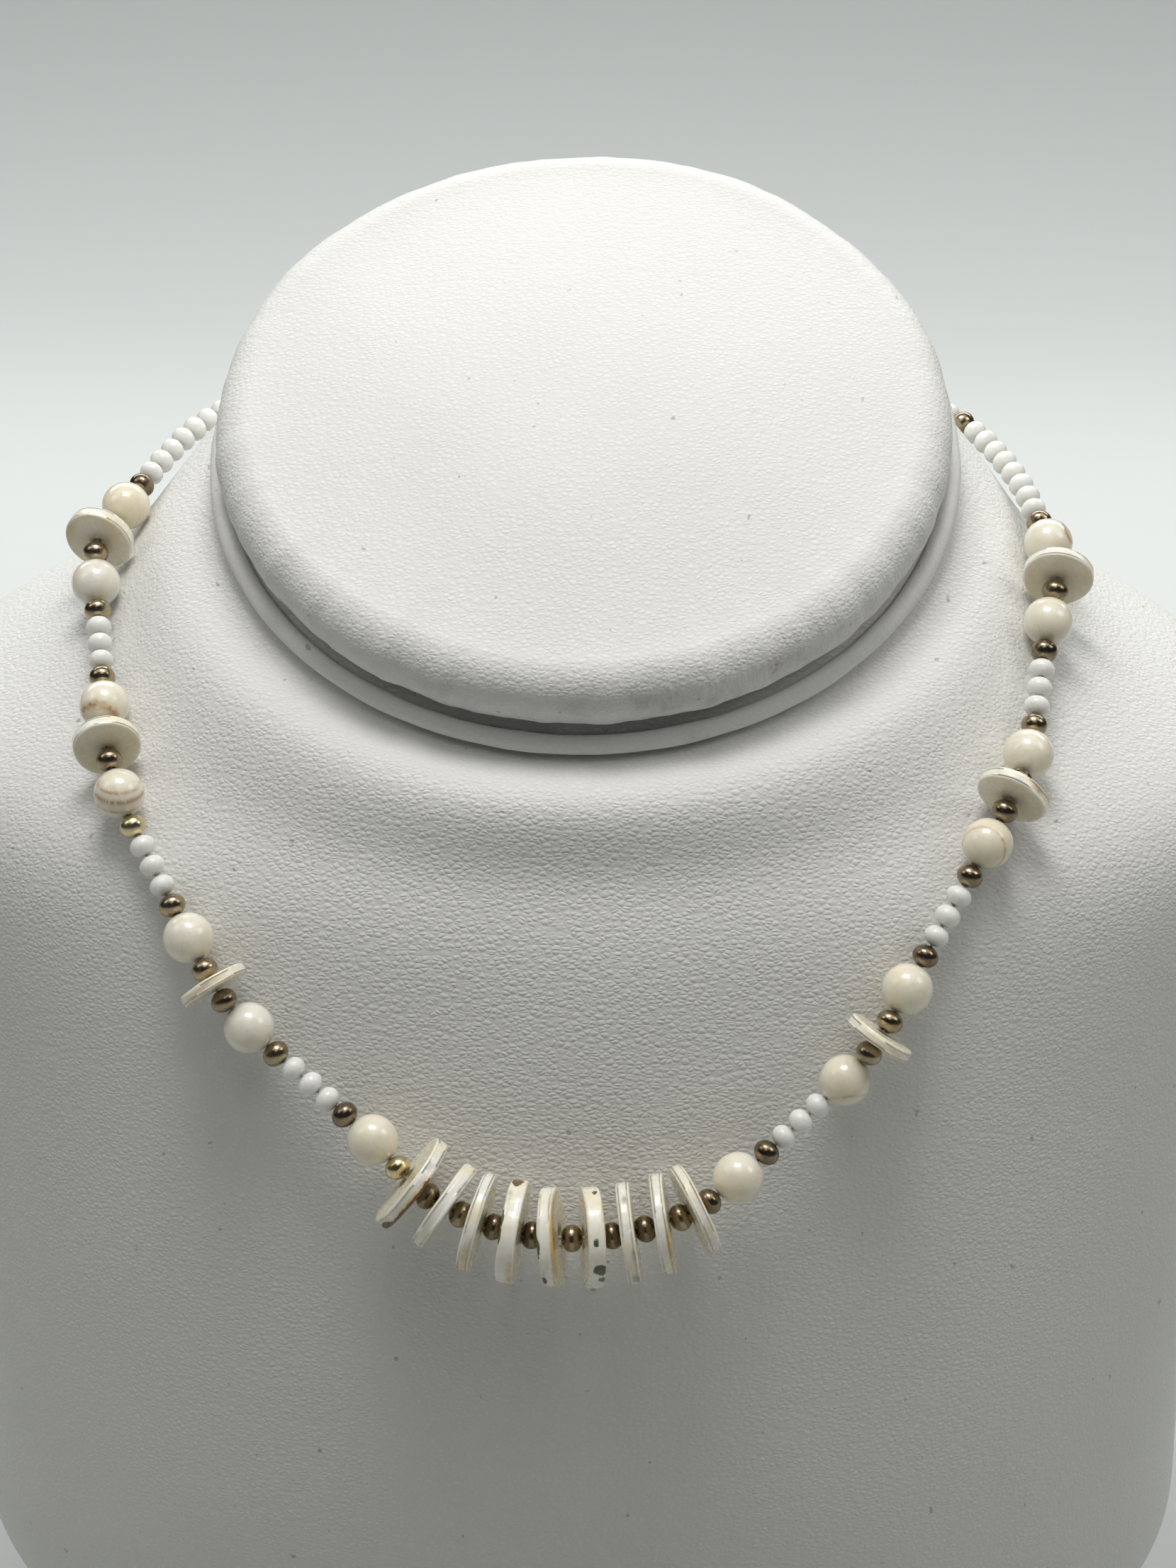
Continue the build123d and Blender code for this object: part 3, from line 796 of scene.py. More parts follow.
@dataclass
class BustCover:
    """The trunk's leatherette, taut over its form."""

    top: TiltedPlane = TiltedPlane(3.28, 165.87, 34.5)
    axis_back: float = 3.0
    first_share: float = 0.0008
    lower_share: float = 0.93
    heart: tuple = (0.0, 2.4, 122.0)
    rows: int = 200
    upper_rows: int = 36
    columns: int = 380
    blur_rows: float = 2.6
    blur_columns: float = 2.6
    front_blur_rows: float = 5.0
    front: tuple = (0.0, -38.0, 138.0)
    front_reach: tuple = (40.0, 12.0, 12.0)
    free_rows: int = 5
    ease_rows: int = 6
    dent: float = 0.1
    collar_across: float = 43.5
    collar_along: float = 42.3
    collar_rise: float = 2.0
    foot_gap: float = 1.0
    base_inset: float = 0.93
    worn_all_over: float = 0.06
    worn_spots: tuple = ((0.25, (70, -10, 4), (60, 70, 10)), (0.12, (34, -32, 138), (5, 8, 5)))

    def planes(self, share: Array) -> tuple[Array, Array]:
        """Middles and slopes of the tilted planes that the lower rings lie on.

        A plane at share t of the way up has its middle at t times the top's, and slopes by t squared
        times the top's slope.
        """
        middle = np.stack([0 * share, share * self.top.back, share * self.top.height], axis=-1)
        return middle, np.radians(self.top.slope) * share**2

    def oval(self, across: float, along: float, rise: float) -> Array:
        """An ellipse (across cos a, along sin a) on the top plane, raised square to it."""
        angle = circle(self.columns)
        flat = np.stack([across * np.cos(angle), along * np.sin(angle), rise + 0 * angle], axis=-1)
        return self.top.lifted(flat)

    def rings(self) -> Array:
        """Rings of points on the trunk.

        In the lower rings a ray is cast from the middle of each tilted plane at each angle a, along
        (cos a, sin a cos slope, sin a sin slope). The upper rings' rays start at one heart and swing
        from the last lower ring to the foot of the collar. The places are then blurred along both ways
        of the grid, so that the solid's flat facets don't show, and more at the upper front.

        Returns:
            Points by row and column in millimetres.
        """
        tree = node_solids("bust_form")[0].tree()
        middle, slope = self.planes(np.linspace(self.first_share, self.lower_share, self.rows))
        angle = circle(self.columns)
        ways = np.stack(
            [
                np.cos(angle)[None, :] + 0 * slope[:, None],
                np.sin(angle)[None, :] * np.cos(slope)[:, None],
                np.sin(angle)[None, :] * np.sin(slope)[:, None],
            ],
            axis=-1,
        )
        points = self.cast(tree, np.repeat(middle[:, None, :], self.columns, axis=1), ways)
        heart = np.array(self.heart)
        swing = np.linspace(0, 1, self.upper_rows + 1)[1:, None, None]
        foot = self.oval(self.collar_across + self.foot_gap, self.collar_along + self.foot_gap, 0.0)
        upper = unit((1 - swing) * (points[-1] - heart) + swing * (foot - heart))
        points = np.concatenate([points, self.cast(tree, np.broadcast_to(heart, upper.shape), upper)])
        blurred = smoothed(points, self.blur_columns, axis=1, wrap=True)
        blurred = smoothed(blurred, self.blur_rows, axis=0, wrap=False)
        soft = smoothed(blurred, self.front_blur_rows, axis=0, wrap=False)
        blurred = blurred + (soft - blurred) * blob(points, self.front, self.front_reach)[..., None]
        ease = np.clip((np.arange(len(points)) - self.free_rows) / self.ease_rows, 0, 1)[:, None]
        points = points + (blurred - points) * ease[..., None]
        dents = ripple(points, waves=14, longest=46.0, shortest=20.0, seed=11) - 1.0
        outward = unit(points * [1, 1, 0] - [0, self.axis_back, 0])
        return points + outward * (self.dent * dents * ease)[..., None]

    @staticmethod
    def cast(tree: BVHTree, starts: Array, ways: Array) -> Array:
        """The places where rays from inside a solid leave it."""
        pairs = zip(starts.reshape(-1, 3).tolist(), ways.reshape(-1, 3).tolist())
        reach = np.array([tree.ray_cast(start, way)[3] for start, way in pairs], float)
        return starts + ways * reach.reshape(starts.shape[:-1])[..., None]

    def collar(self) -> Array:
        """Two rings, at the foot and the top edge of the collar under the cap."""
        rises = (0.0, self.collar_rise)
        return np.array([self.oval(self.collar_across, self.collar_along, rise) for rise in rises])

    def build(self, finish: bpy.types.Material) -> bpy.types.Object:
        """Makes the cover, closed under the base and over the collar."""
        rings = self.rings()
        base = rings[0] * [self.base_inset, self.base_inset, 0]
        points = np.concatenate([base[None], rings, self.collar()])
        rows = len(points)
        faces = grid_faces(rows, self.columns)[:, ::-1]
        last = (rows - 1) * self.columns
        fans = (range(self.columns - 1, -1, -1), range(last, last + self.columns))
        piece = new_piece("bust_cover", points * MM, faces, fans)
        spots = (share * blob(points, middle, reach) for share, middle, reach in self.worn_spots)
        store(piece, "worn", sum(spots, self.worn_all_over).reshape(-1))
        piece.data.materials.append(finish)
        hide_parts("bust_form")
        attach(piece, "root")
        LOG.info("bust cover: %d points", len(piece.data.vertices))
        return piece


@dataclass
class NeckCap:
    """The padded oval on the neck, full and taut, with puckers where its leatherette turns over the rim."""

    across: float = 45.0
    along: float = 43.8
    rim: float = 5.0
    crown: float = 4.0
    crown_power: float = 1.35
    plane: TiltedPlane = CAP_PLANE
    columns: int = 420
    crown_rows: int = 60
    rim_rows: int = 44
    under_rows: int = 12
    pucker: float = 0.16
    folds: tuple = ((17, 0.7), (29, 0.6), (43, 0.5), (71, 0.35), (97, 0.2))
    wander: float = 0.22

    def profile(self) -> Array:
        """The section from the crown's middle over the rim to the underside's middle.

        Over the crown, at share s of the way out, the height is rim + crown (1 - s^2)^crown_power. The
        rim is half a circle, and the underside is flat.

        Returns:
            Points (share of the way out to the rim's middle, outset, height, pull), where the pull is how
            strongly the leatherette is drawn into puckers there.
        """
        share = np.linspace(0.004, 1.0, self.crown_rows)
        pull = 0.3 * np.clip((share - 0.8) / 0.2, 0, 1) ** 2
        height = self.rim + self.crown * (1 - share**2) ** self.crown_power
        top = np.stack([share, 0 * share, height, pull], axis=-1)
        turn = np.linspace(0, np.pi, self.rim_rows)[1:]
        pull = np.where(turn < np.pi / 2, 0.3 + 0.7 * np.sin(turn), np.sin(turn) ** 2)
        edge = np.stack([1 + 0 * turn, self.rim * np.sin(turn), self.rim * np.cos(turn), pull], axis=-1)
        inward = np.linspace(0.97, 0.02, self.under_rows)
        under = np.stack([inward, 0 * inward, -self.rim + 0 * inward, 0 * inward], axis=-1)
        return np.concatenate([top, edge, under])

    def surface(self) -> tuple[Array, Array, Array]:
        """The cap's points, with puckers and a slow wander of the padding.

        At angle a a profile point goes to the ellipse's (share (across - rim) cos a, share (along -
        rim) sin a) plus its outset along the ellipse's own normal. The puckers are folds across the
        rim whose depth is a sum of sines of the angle, strongest on the upper rim at the front.

        Returns:
            Points in the model's axes in millimetres, the angles, and the pull of each row.
        """
        profile = self.profile()
        outset, rise, pull = profile[:, None, 1:2], profile[:, None, 2:3], profile[:, 3]
        angle = circle(self.columns)
        wide, deep = self.across - self.rim, self.along - self.rim
        flat = np.stack([wide * np.cos(angle), deep * np.sin(angle)], axis=-1)
        out = unit(np.stack([deep * np.cos(angle), wide * np.sin(angle)], axis=-1))
        level = profile[:, None, :1] * flat[None] + outset * out[None]
        points = np.concatenate([level, np.repeat(rise, self.columns, axis=1)], axis=-1)
        draw = np.random.default_rng(5)
        depth = 0 * angle
        for turns, share in self.folds:
            phase = draw.uniform(0, 6.28)
            sway = 0.6 * np.sin(angle * 3 + draw.uniform(0, 6.28))
            depth = depth + share * np.sin(angle * turns + phase + sway)
        front = 0.35 + 0.65 * np.clip(-np.sin(angle), 0, 1) ** 0.7
        sideways = out[None] * outset / self.rim
        upward = np.where(outset > 0, rise / self.rim, 1.0) * np.ones((1, self.columns, 1))
        facing = np.concatenate([sideways, upward], axis=-1)
        normal = unit(facing * np.where(rise > -self.rim + 1e-6, 1, 0) + 1e-9)
        pucker = -self.pucker * pull[:, None] * front[None] * (0.8 + depth[None])
        slow = self.wander * (ripple(points, waves=10, longest=60.0, shortest=20.0, seed=3) - 0.9)
        slow = slow * (points[..., 2] > -0.6 * self.rim)
        return self.plane.lifted(points + normal * (pucker + slow)[..., None]), angle, pull

    def run(self, angle: Array, points: Array) -> Array:
        """Each point's place along the rim and down the section, in metres, for the rim's fine wrinkles."""
        down = np.cumsum(np.linalg.norm(np.diff(points, axis=0, prepend=points[:1]), axis=-1), axis=0) * MM
        around = np.stack([np.cos(angle), np.sin(angle)], axis=-1) * (self.across + self.along) / 2 * MM
        return np.concatenate([np.broadcast_to(around, (*down.shape, 2)), 0.12 * down[..., None]], axis=-1)

    def worn(self, angle: Array, pull: Array, points: Array) -> Array:
        """How marked each point is: most at the front of the rim, right of its middle, and at the right."""
        front = bell(angle, 1.62 * np.pi, 0.5) + 0.55 * bell(angle, 1.35 * np.pi, 0.35)
        right = 0.6 * bell((angle + np.pi) % (2 * np.pi) - np.pi, 0.0, 0.35)
        band = pull[:, None] * (front + right)[None]
        line = 0.3 * blob(points, middle=(22, -8, 176), reach=(14, 3, 6))
        return np.clip(0.07 + 0.62 * band + line, 0, 1)

    def build(self, finish: bpy.types.Material) -> bpy.types.Object:
        """Makes the cap, closed at both poles."""
        points, angle, pull = self.surface()
        rows = len(points)
        faces = grid_faces(rows, self.columns)
        last = (rows - 1) * self.columns
        fans = (range(self.columns), range(last + self.columns - 1, last - 1, -1))
        piece = new_piece("padded_cap", points * MM, faces, fans)
        store(piece, "worn", self.worn(angle, pull, points).reshape(-1))
        store(piece, "rim_run", self.run(angle, points).reshape(-1, 3))
        front = np.clip(-np.sin(angle - 0.35), 0, 1)
        store(piece, "wrinkled", (pull[:, None] * (0.15 + 0.85 * front[None])).reshape(-1))
        piece.data.materials.append(finish)
        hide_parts("neck_cap")
        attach(piece, "root")
        LOG.info("padded cap: %d points", len(piece.data.vertices))
        return piece


@dataclass
class NeckPiping:
    """The corded edge round the neck, a soft tube whose two ends meet at the nape."""

    across: float = 44.9
    along: float = 43.7
    radius: float = 1.2
    drop: float = 5.8
    plane: TiltedPlane = CAP_PLANE
    steps: int = 720
    sides: int = 28

    def build(self, finish: bpy.types.Material) -> bpy.types.Object:
        """Makes the tube.

        The middle line is the ellipse (across cos a, along sin a), on a level below the cap's. The tube's
        radius wanders by a few hundredths along it, and a small pinch at the nape is where the cord's
        ends meet.
        """
        angle = circle(self.steps)
        middle = np.stack([self.across * np.cos(angle), self.along * np.sin(angle), 0 * angle], axis=-1)
        out = unit(np.stack([self.along * np.cos(angle), self.across * np.sin(angle), 0 * angle], axis=-1))
        nape = np.abs((angle - np.pi / 2 + np.pi) % (2 * np.pi) - np.pi)
        soft = 1 - 0.035 * (1 + np.sin(angle * 23) * np.sin(angle * 7 + 1)) - 0.16 * bell(nape, 0.0, 0.012)
        side = circle(self.sides)
        outward = out[:, None, :] * np.cos(side)[None, :, None]
        upward = np.array([0, 0, 1.0]) * np.sin(side)[None, :, None]
        points = middle[:, None, :] + self.radius * soft[:, None, None] * (outward + upward)
        points[..., 2] -= self.drop
        faces = grid_faces(self.steps, self.sides, close_rows=True)[:, ::-1]
        piece = new_piece("corded_piping", self.plane.lifted(points) * MM, faces)
        worn = 0.1 + 0.25 * bell(angle, 1.6 * np.pi, 0.6)
        store(piece, "worn", np.repeat(worn[:, None], self.sides, axis=1).reshape(-1))
        piece.data.materials.append(finish)
        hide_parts("neck_piping")
        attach(piece, "root")
        LOG.info("corded piping: %d points", len(piece.data.vertices))
        return piece


@dataclass(frozen=True)
class Stripe:
    """A tan band on a round bead.

    It lies square to its own way (up, out of the bust, along), at a level between -1 and 1 radius
    along that way. Its width is in radii too.
    """

    up: float
    out: float
    along: float
    level: float
    width: float
    strength: float


@dataclass(frozen=True)
class RoundLook:
    """How a round bead looks: its warmth, from white at 0 to cream at 1, and its tan bands."""

    warmth: float
    stripes: tuple = ()


@dataclass
class RoundBeads:
    """The nacre rounds, each its own piece."""

    radius: float = 3.0
    bore: float = 0.55
    columns: int = 72
    arc_rows: int = 44
    wall_rows: int = 4
    looks: dict = field(
        default_factory=lambda: {
            "left_1": RoundLook(0.55),
            "left_2": RoundLook(0.1),
            "left_3": RoundLook(0.2, (Stripe(-0.7, 0.35, -0.6, 0.78, 0.12, 0.95),)),
            "left_4": RoundLook(
                0.35,
                (
                    Stripe(0.8, 0.1, -0.6, 0.55, 0.06, 0.75),
                    Stripe(0.8, 0.1, -0.6, 0.2, 0.1, 0.9),
                    Stripe(0.8, 0.1, -0.6, -0.25, 0.06, 0.8),
                ),
            ),
            "left_5": RoundLook(0.45, (Stripe(0.1, 0.3, 0.95, 0.72, 0.12, 0.95),)),
            "left_6": RoundLook(0.0, (Stripe(-0.5, 0.4, 0.7, 0.8, 0.05, 0.4),)),
            "left_7": RoundLook(0.9),
            "right_1": RoundLook(0.45),
            "right_2": RoundLook(0.6, (Stripe(-0.6, 0.4, -0.6, 0.65, 0.04, 0.6),)),
            "right_3": RoundLook(0.6),
            "right_4": RoundLook(0.75, (Stripe(0.7, 0.4, -0.6, 0.5, 0.05, 0.8),)),
            "right_5": RoundLook(0.5, (Stripe(-0.3, 0.95, 0.0, 0.97, 0.08, 0.8),)),
            "right_6": RoundLook(0.4),
            "right_7": RoundLook(0.3, (Stripe(0.5, 0.8, 0.1, 0.9, 0.05, 0.9),)),
        }
    )

    def profile(self) -> Array:
        """The closed section: the ball's arc from rim to rim of the hole, then the hole's wall."""
        rim = math.asin(self.bore / self.radius)
        turn = np.linspace(rim, np.pi - rim, self.arc_rows)
        arc = np.stack([self.radius * np.sin(turn), self.radius * np.cos(turn)], axis=-1)
        end = self.radius * math.cos(rim)
        heights = np.linspace(-end, end, self.wall_rows + 2)[1:-1]
        wall = np.stack([self.bore + 0 * heights, heights], axis=-1)
        return np.concatenate([arc, wall])

    def marks(self, own: Array, stripes: tuple) -> Array:
        """The strength of the tan marks.

        Each is a band square to its own way w: strength exp(-((p.w / radius - level) / width)^2),
        where p is the place in the bead.
        """
        total = np.zeros(own.shape[:-1])
        for stripe in stripes:
            way = unit(np.array([stripe.up, stripe.out, stripe.along]))
            reach = own @ way / self.radius
            total = total + stripe.strength * bell(reach, stripe.level, stripe.width)
        return np.clip(total, 0, 1)

    def build(self, finish: bpy.types.Material) -> None:
        """Makes the fourteen rounds."""
        profile = self.profile()
        for number, (key, look) in enumerate(self.looks.items()):
            node = f"round_bead_{key}"
            seat = Seat.of(node_solids(node)[0])
            points, own = turned(seat, profile, self.columns)
            own = own * [1, seat.front(), 1]
            faces = grid_faces(len(profile), self.columns, close_rows=True)
            piece = new_piece(f"nacre_{key}", points * MM, faces)
            store(piece, "own_place", own.reshape(-1, 3) * MM)
            store_one(piece, "seed", 0.37 * number + 0.1)
            store_one(piece, "warmth", look.warmth)
            store(piece, "stripe", self.marks(own, look.stripes).reshape(-1))
            piece.data.materials.append(finish)
            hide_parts(node)
            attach(piece, "root")
            LOG.info("round bead %s at %s", key, np.round(seat.middle, 1))


@dataclass
class SpacerBeads:
    """Small drilled beads of one kind, all in one piece."""

    name: str
    node: str
    slot: str
    radius: float
    half_length: float
    bore: float
    columns: int
    rows: int
    seed: int
    tone_low: float
    tone_high: float
    wobble: float
    golden: tuple = ()

    def profile(self) -> Array:
        """The closed section: half an oval cut by the hole, then the hole's wall.

        The oval is (radius sin t, full cos t), where full is the half length that it would have with no
        hole.
        """
        full = self.half_length / math.sqrt(1 - (self.bore / self.radius) ** 2)
        rim = math.asin(self.bore / self.radius)
        turn = np.linspace(rim, np.pi - rim, self.rows - 2)
        arc = np.stack([self.radius * np.sin(turn), full * np.cos(turn)], axis=-1)
        wall = np.array([(self.bore, -self.half_length * 0.4), (self.bore, self.half_length * 0.4)])
        return np.concatenate([arc, wall])

    def build(self, finish: bpy.types.Material) -> bpy.types.Object:
        """Makes the beads, each shrunk by its own small amounts square to its hole and along it."""
        draw = np.random.default_rng(self.seed)
        profile = self.profile()
        all_points, all_own, seeds, tones = [], [], [], []
        solids = node_solids(self.node)
        for number, solid in enumerate(solids):
            shrink = 1 - self.wobble * draw.uniform(0, 1, 2)
            section = np.where(profile[:, :1] > self.bore * 1.01, profile * shrink, profile * [1, shrink[1]])
            points, own = turned(Seat.of(solid), section, self.columns)
            all_points.append(points)
            all_own.append(own)
            seeds.append(np.full(points.shape[:2], 0.61 * number))
            tone = draw.uniform(self.tone_low, self.tone_high)
            middle = solid.points.mean(axis=0)
            if any(math.dist(middle, place) < 2.0 for place in self.golden):
                tone = 1.0
            tones.append(np.full(points.shape[:2], tone))
        one = grid_faces(len(profile), self.columns, close_rows=True)
        size = len(profile) * self.columns
        faces = np.concatenate([one + size * number for number in range(len(solids))])
        piece = new_piece(self.name, np.array(all_points) * MM, faces)
        store(piece, "own_place", np.array(all_own).reshape(-1, 3) * MM)
        store(piece, "seed", np.array(seeds).reshape(-1))
        store(piece, "tone", np.array(tones).reshape(-1))
        piece.data.materials.append(finish)
        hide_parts(self.node)
        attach(piece, "root")
        LOG.info("%s: %d beads", self.name, len(solids))
        return piece


@dataclass(frozen=True)
class Mark:
    """A coloured patch at a disc's rim.

    Its angle and spread are in degrees round the hole, from the top towards the viewer. Its place
    and reach along the hole are shares of the half thickness, left to right.
    """

    tint: Tint
    angle: float
    spread: float
    along: float
    reach: float
    strength: float = 1.0

    def painted(self, shares: Array) -> Array:
        """How strongly each point is marked: a bell curve round the hole and along it, fading inwards."""
        around = np.degrees(np.arctan2(shares[..., 1], shares[..., 0])) - self.angle
        around = (around + 180) % 360 - 180
        rim = np.clip((np.hypot(shares[..., 0], shares[..., 1]) - 0.45) / 0.4, 0, 1)
        lengthwise = (shares[..., 2] - self.along) / self.reach
        return self.strength * rim * np.exp(-((around / self.spread) ** 2) - lengthwise**2)


@dataclass(frozen=True)
class Chip:
    """A bite out of a disc's rim: its angle from the top towards the front, half-width and depth."""

    angle: float
    width: float
    depth: float
    along: float = 0.0


@dataclass
class ShellDiscs:
    """The sawn shell discs, each its own piece."""

    edge: float = 0.3
    waver: float = 0.05
    ridge: float = 0.006
    nick: float = 0.018
    start_gap: float = 0.2
    columns: int = 144
    rim_rows: int = 15
    face_rows: int = 12
    marks: dict = field(
        default_factory=lambda: {
            "center_1": (
                Mark(Tint.CRUST, 66, 22, 1.0, 0.45),
                Mark(Tint.CRUST, 104, 26, 0.95, 0.5),
                Mark(Tint.CRUST, 140, 14, 0.4, 0.6),
                Mark(Tint.AMBER, 84, 48, 0.75, 0.6, 0.9),
            ),
            "center_2": (
                Mark(Tint.AMBER, 120, 40, 0.9, 0.6, 0.35),
                Mark(Tint.ASH, 20, 16, 0.7, 0.5, 0.4),
            ),
            "center_3": (Mark(Tint.AMBER, 118, 38, 0.2, 1.2, 0.5),),
            "center_4": (
                Mark(Tint.CRUST, -12, 13, -0.2, 0.6, 1.2),
                Mark(Tint.MOSS, 50, 13, -0.95, 0.3),
                Mark(Tint.MOSS, 72, 9, -0.9, 0.25, 0.8),
                Mark(Tint.AMBER, 122, 40, 0.6, 0.5, 0.55),
                Mark(Tint.ASH, 18, 14, -0.6, 0.4, 0.6),
            ),
            "center_5": (
                Mark(Tint.MOSS, 76, 15, -0.95, 0.35, 1.1),
                Mark(Tint.MOSS, 122, 9, -0.6, 0.35),
                Mark(Tint.AMBER, 70, 85, 1.0, 0.4, 0.9),
                Mark(Tint.ASH, 8, 8, -0.8, 0.4, 0.7),
            ),
            "center_6": (
                Mark(Tint.MOSS, 2, 8, 0.3, 0.4, 0.9),
                Mark(Tint.MOSS, 70, 7, -0.1, 0.35, 0.8),
                Mark(Tint.MOSS, 104, 7, 0.3, 0.7, 1.4),
                Mark(Tint.MOSS, 122, 7, 0.5, 0.5, 0.8),
                Mark(Tint.AMBER, 40, 40, 1.0, 0.5, 0.5),
            ),
            "center_7": (
                Mark(Tint.ASH, 26, 12, 0.2, 0.5, 0.7),
                Mark(Tint.ASH, 88, 14, 0.5, 0.45, 0.65),
                Mark(Tint.ASH, 126, 16, 0.2, 0.7, 0.75),
                Mark(Tint.MOSS, 70, 90, 1.1, 0.16, 0.7),
            ),
            "center_8": (
                Mark(Tint.AMBER, 96, 48, 0.75, 0.35, 0.8),
                Mark(Tint.ASH, 154, 12, -0.4, 0.8, 0.8),
            ),
            "center_9": (Mark(Tint.ASH, 140, 20, -0.6, 0.6, 0.45),),
            "left_1": (Mark(Tint.AMBER, 60, 50, 0.0, 1.2, 0.4),),
            "left_2": (Mark(Tint.ASH, 100, 30, -0.8, 0.5, 0.4),),
            "left_3": (Mark(Tint.AMBER, 70, 50, -0.9, 0.6, 0.4),),
            "right_1": (),
            "right_2": (Mark(Tint.AMBER, 60, 45, 0.4, 0.8, 0.45),),
            "right_3": (Mark(Tint.AMBER, 90, 45, 0.2, 0.8, 0.45),),
        }
    )
    chips: dict = field(
        default_factory=lambda: {
            "center_1": (Chip(2.3, 0.25, 0.35), Chip(0.7, 0.12, 0.18)),
            "center_4": (Chip(0.6, 0.2, 0.25, 0.5),),
            "center_5": (Chip(2.6, 0.16, 0.2, -0.5),),
            "center_6": (Chip(2.45, 0.22, 0.3, 0.4),),
            "center_9": (Chip(2.5, 0.28, 0.45, -0.4),),
            "right_2": (Chip(1.2, 0.3, 0.3),),
            "left_2": (Chip(1.9, 0.25, 0.22),),
        }
    )

    def section(self) -> Array:
        """The closed section as shares: r from the hole to the rim, and h over the half thickness.

        It runs out over the near face, round the rim with rounded edges, in over the far face and
        back along the hole's wall. The third and fourth numbers are how far a rounded edge has run
        outwards and along, as shares of the edge size.
        """
        out = np.linspace(0, 1, self.face_rows) ** 0.8
        turn = np.linspace(0, np.pi / 2, 5)
        flat = np.linspace(1, -1, self.rim_rows - 8)[1:-1]
        near = np.stack([out, 1 + 0 * out, 0 * out, 0 * out], axis=-1)
        corner = np.stack([1 + 0 * turn, 1 + 0 * turn, np.sin(turn), np.cos(turn) - 1], axis=-1)[1:]
        rim = np.stack([1 + 0 * flat, flat, 1 + 0 * flat, 0 * flat], axis=-1)
        far_corner = corner[::-1] * [1, -1, 1, -1]
        far = near[::-1] * [1, -1, 1, 1]
        wall = np.array([(0, -0.4, 0, 0), (0, 0.4, 0, 0)])
        return np.concatenate([near, corner, rim, far_corner, far, wall])

    def shape(self, key: str, number: int, solid: Solid) -> tuple[Seat, Array, Array, Array]:
        """A disc's points.

        Rays from the hole find the solid's rim, which gives the radius at each angle. The rim is then
        bitten where the disc is chipped, and ridged and nicked by hundredths, and the faces waver inwards.

        Args:
            key: the disc's name without its first word.
            number: its place in the list, which seeds its waver.
            solid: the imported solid.

        Returns:
            Its seat, its points, and each point's place in shares and in millimetres of its own axes.
        """
        seat = Seat.of(solid)
        tree = solid.tree()
        angle = circle(self.columns)
        ways = np.cos(angle)[:, None] * seat.up + np.sin(angle)[:, None] * seat.across
        offsets = solid.points - seat.middle
        bore = np.linalg.norm(offsets - np.outer(offsets @ seat.along, seat.along), axis=1).min()
        starts = seat.middle + ways * (bore + self.start_gap)
        pairs = zip(starts.tolist(), ways.tolist())
        reach = np.array([tree.ray_cast(start, way)[3] for start, way in pairs], float)
        radius = smoothed(reach + bore + self.start_gap, width=2.0, axis=0, wrap=True)
        half = np.abs((solid.points - seat.middle) @ seat.along).max()
        front = seat.front()
        section = self.section()
        rise = section[:, 1:2]
        for chip in self.chips.get(key, ()):
            away = (angle * front - chip.angle + np.pi) % (2 * np.pi) - np.pi
            bite = chip.depth * bell(away, 0.0, chip.width) * (1 + 0.3 * np.sin(away * 60))
            radius = radius - bite * bell(rise, chip.along, 1.1)
        radius = np.broadcast_to(radius, (len(section), self.columns))
        rim = radius - self.edge
        level = bore + (rim - bore) * section[:, :1] + self.edge * section[:, 2:3]
        own = np.stack([level * np.cos(angle), level * np.sin(angle), 0 * level], axis=-1)
        waver = ripple(own + 9 * number, waves=7, longest=12.0, shortest=4.0, seed=40 + number)
        waver = self.waver * (waver - 0.9)
        thick = (half + waver) * rise + self.edge * section[:, 3:4]
        waves = np.sin(rise * 9 + 2 * np.sin(angle * 3 + number))
        ridges = self.ridge * (waves - 1) * (section[:, 2:3] > 0.5)
        rough = np.stack([own[..., 0], own[..., 1], thick * 1.5], axis=-1)
        nicks = ripple(rough, waves=12, longest=4.0, shortest=0.9, seed=80 + number)
        nicks = self.nick * (nicks - 0.9)
        level = level + ridges + nicks * (section[:, 2:3] > 0.2)
        up, across = level * np.cos(angle), level * np.sin(angle)
        points = seat.place(up, across, thick)
        shares = np.stack([up / radius, across * front / radius, thick / half], axis=-1)
        return seat, points, shares, np.stack([up, across * front, thick], axis=-1)

    def build(self, finish: bpy.types.Material) -> None:
        """Makes the fifteen discs."""
        section_rows = len(self.section())
        for number, (key, marks) in enumerate(self.marks.items()):
            node = f"disc_{key}"
            seat, points, shares, own = self.shape(key, number, node_solids(node)[0])
            faces = grid_faces(section_rows, self.columns, close_rows=True)
            piece = new_piece(f"shell_{key}", points * MM, faces)
            store(piece, "own_place", own.reshape(-1, 3) * MM)
            store_one(piece, "seed", 0.53 * number + 0.2)
            outer = np.clip((np.abs(shares[..., 2]) - 0.8) / 0.2, 0, 1)
            inner = np.clip(1.15 - np.hypot(shares[..., 0], shares[..., 1]), 0, 0.3)
            store(piece, "face", (outer * inner / 0.3).reshape(-1))
            for tint in Tint:
                mine = [mark.painted(shares) for mark in marks if mark.tint is tint]
                store(piece, tint.value, sum(mine, np.zeros(shares.shape[:-1])).reshape(-1))
            piece.data.materials.append(finish)
            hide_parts(node)
            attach(piece, "root")
            LOG.info("shell disc %s at %s", key, np.round(seat.middle, 1))


def dress_node(node: str, finish: bpy.types.Material) -> None:
    """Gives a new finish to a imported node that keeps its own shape."""
    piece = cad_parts[node]
    piece.data.materials.clear()
    piece.data.materials.append(finish)
    LOG.info("%s keeps its packed shape", node)


# Light, floor and camera


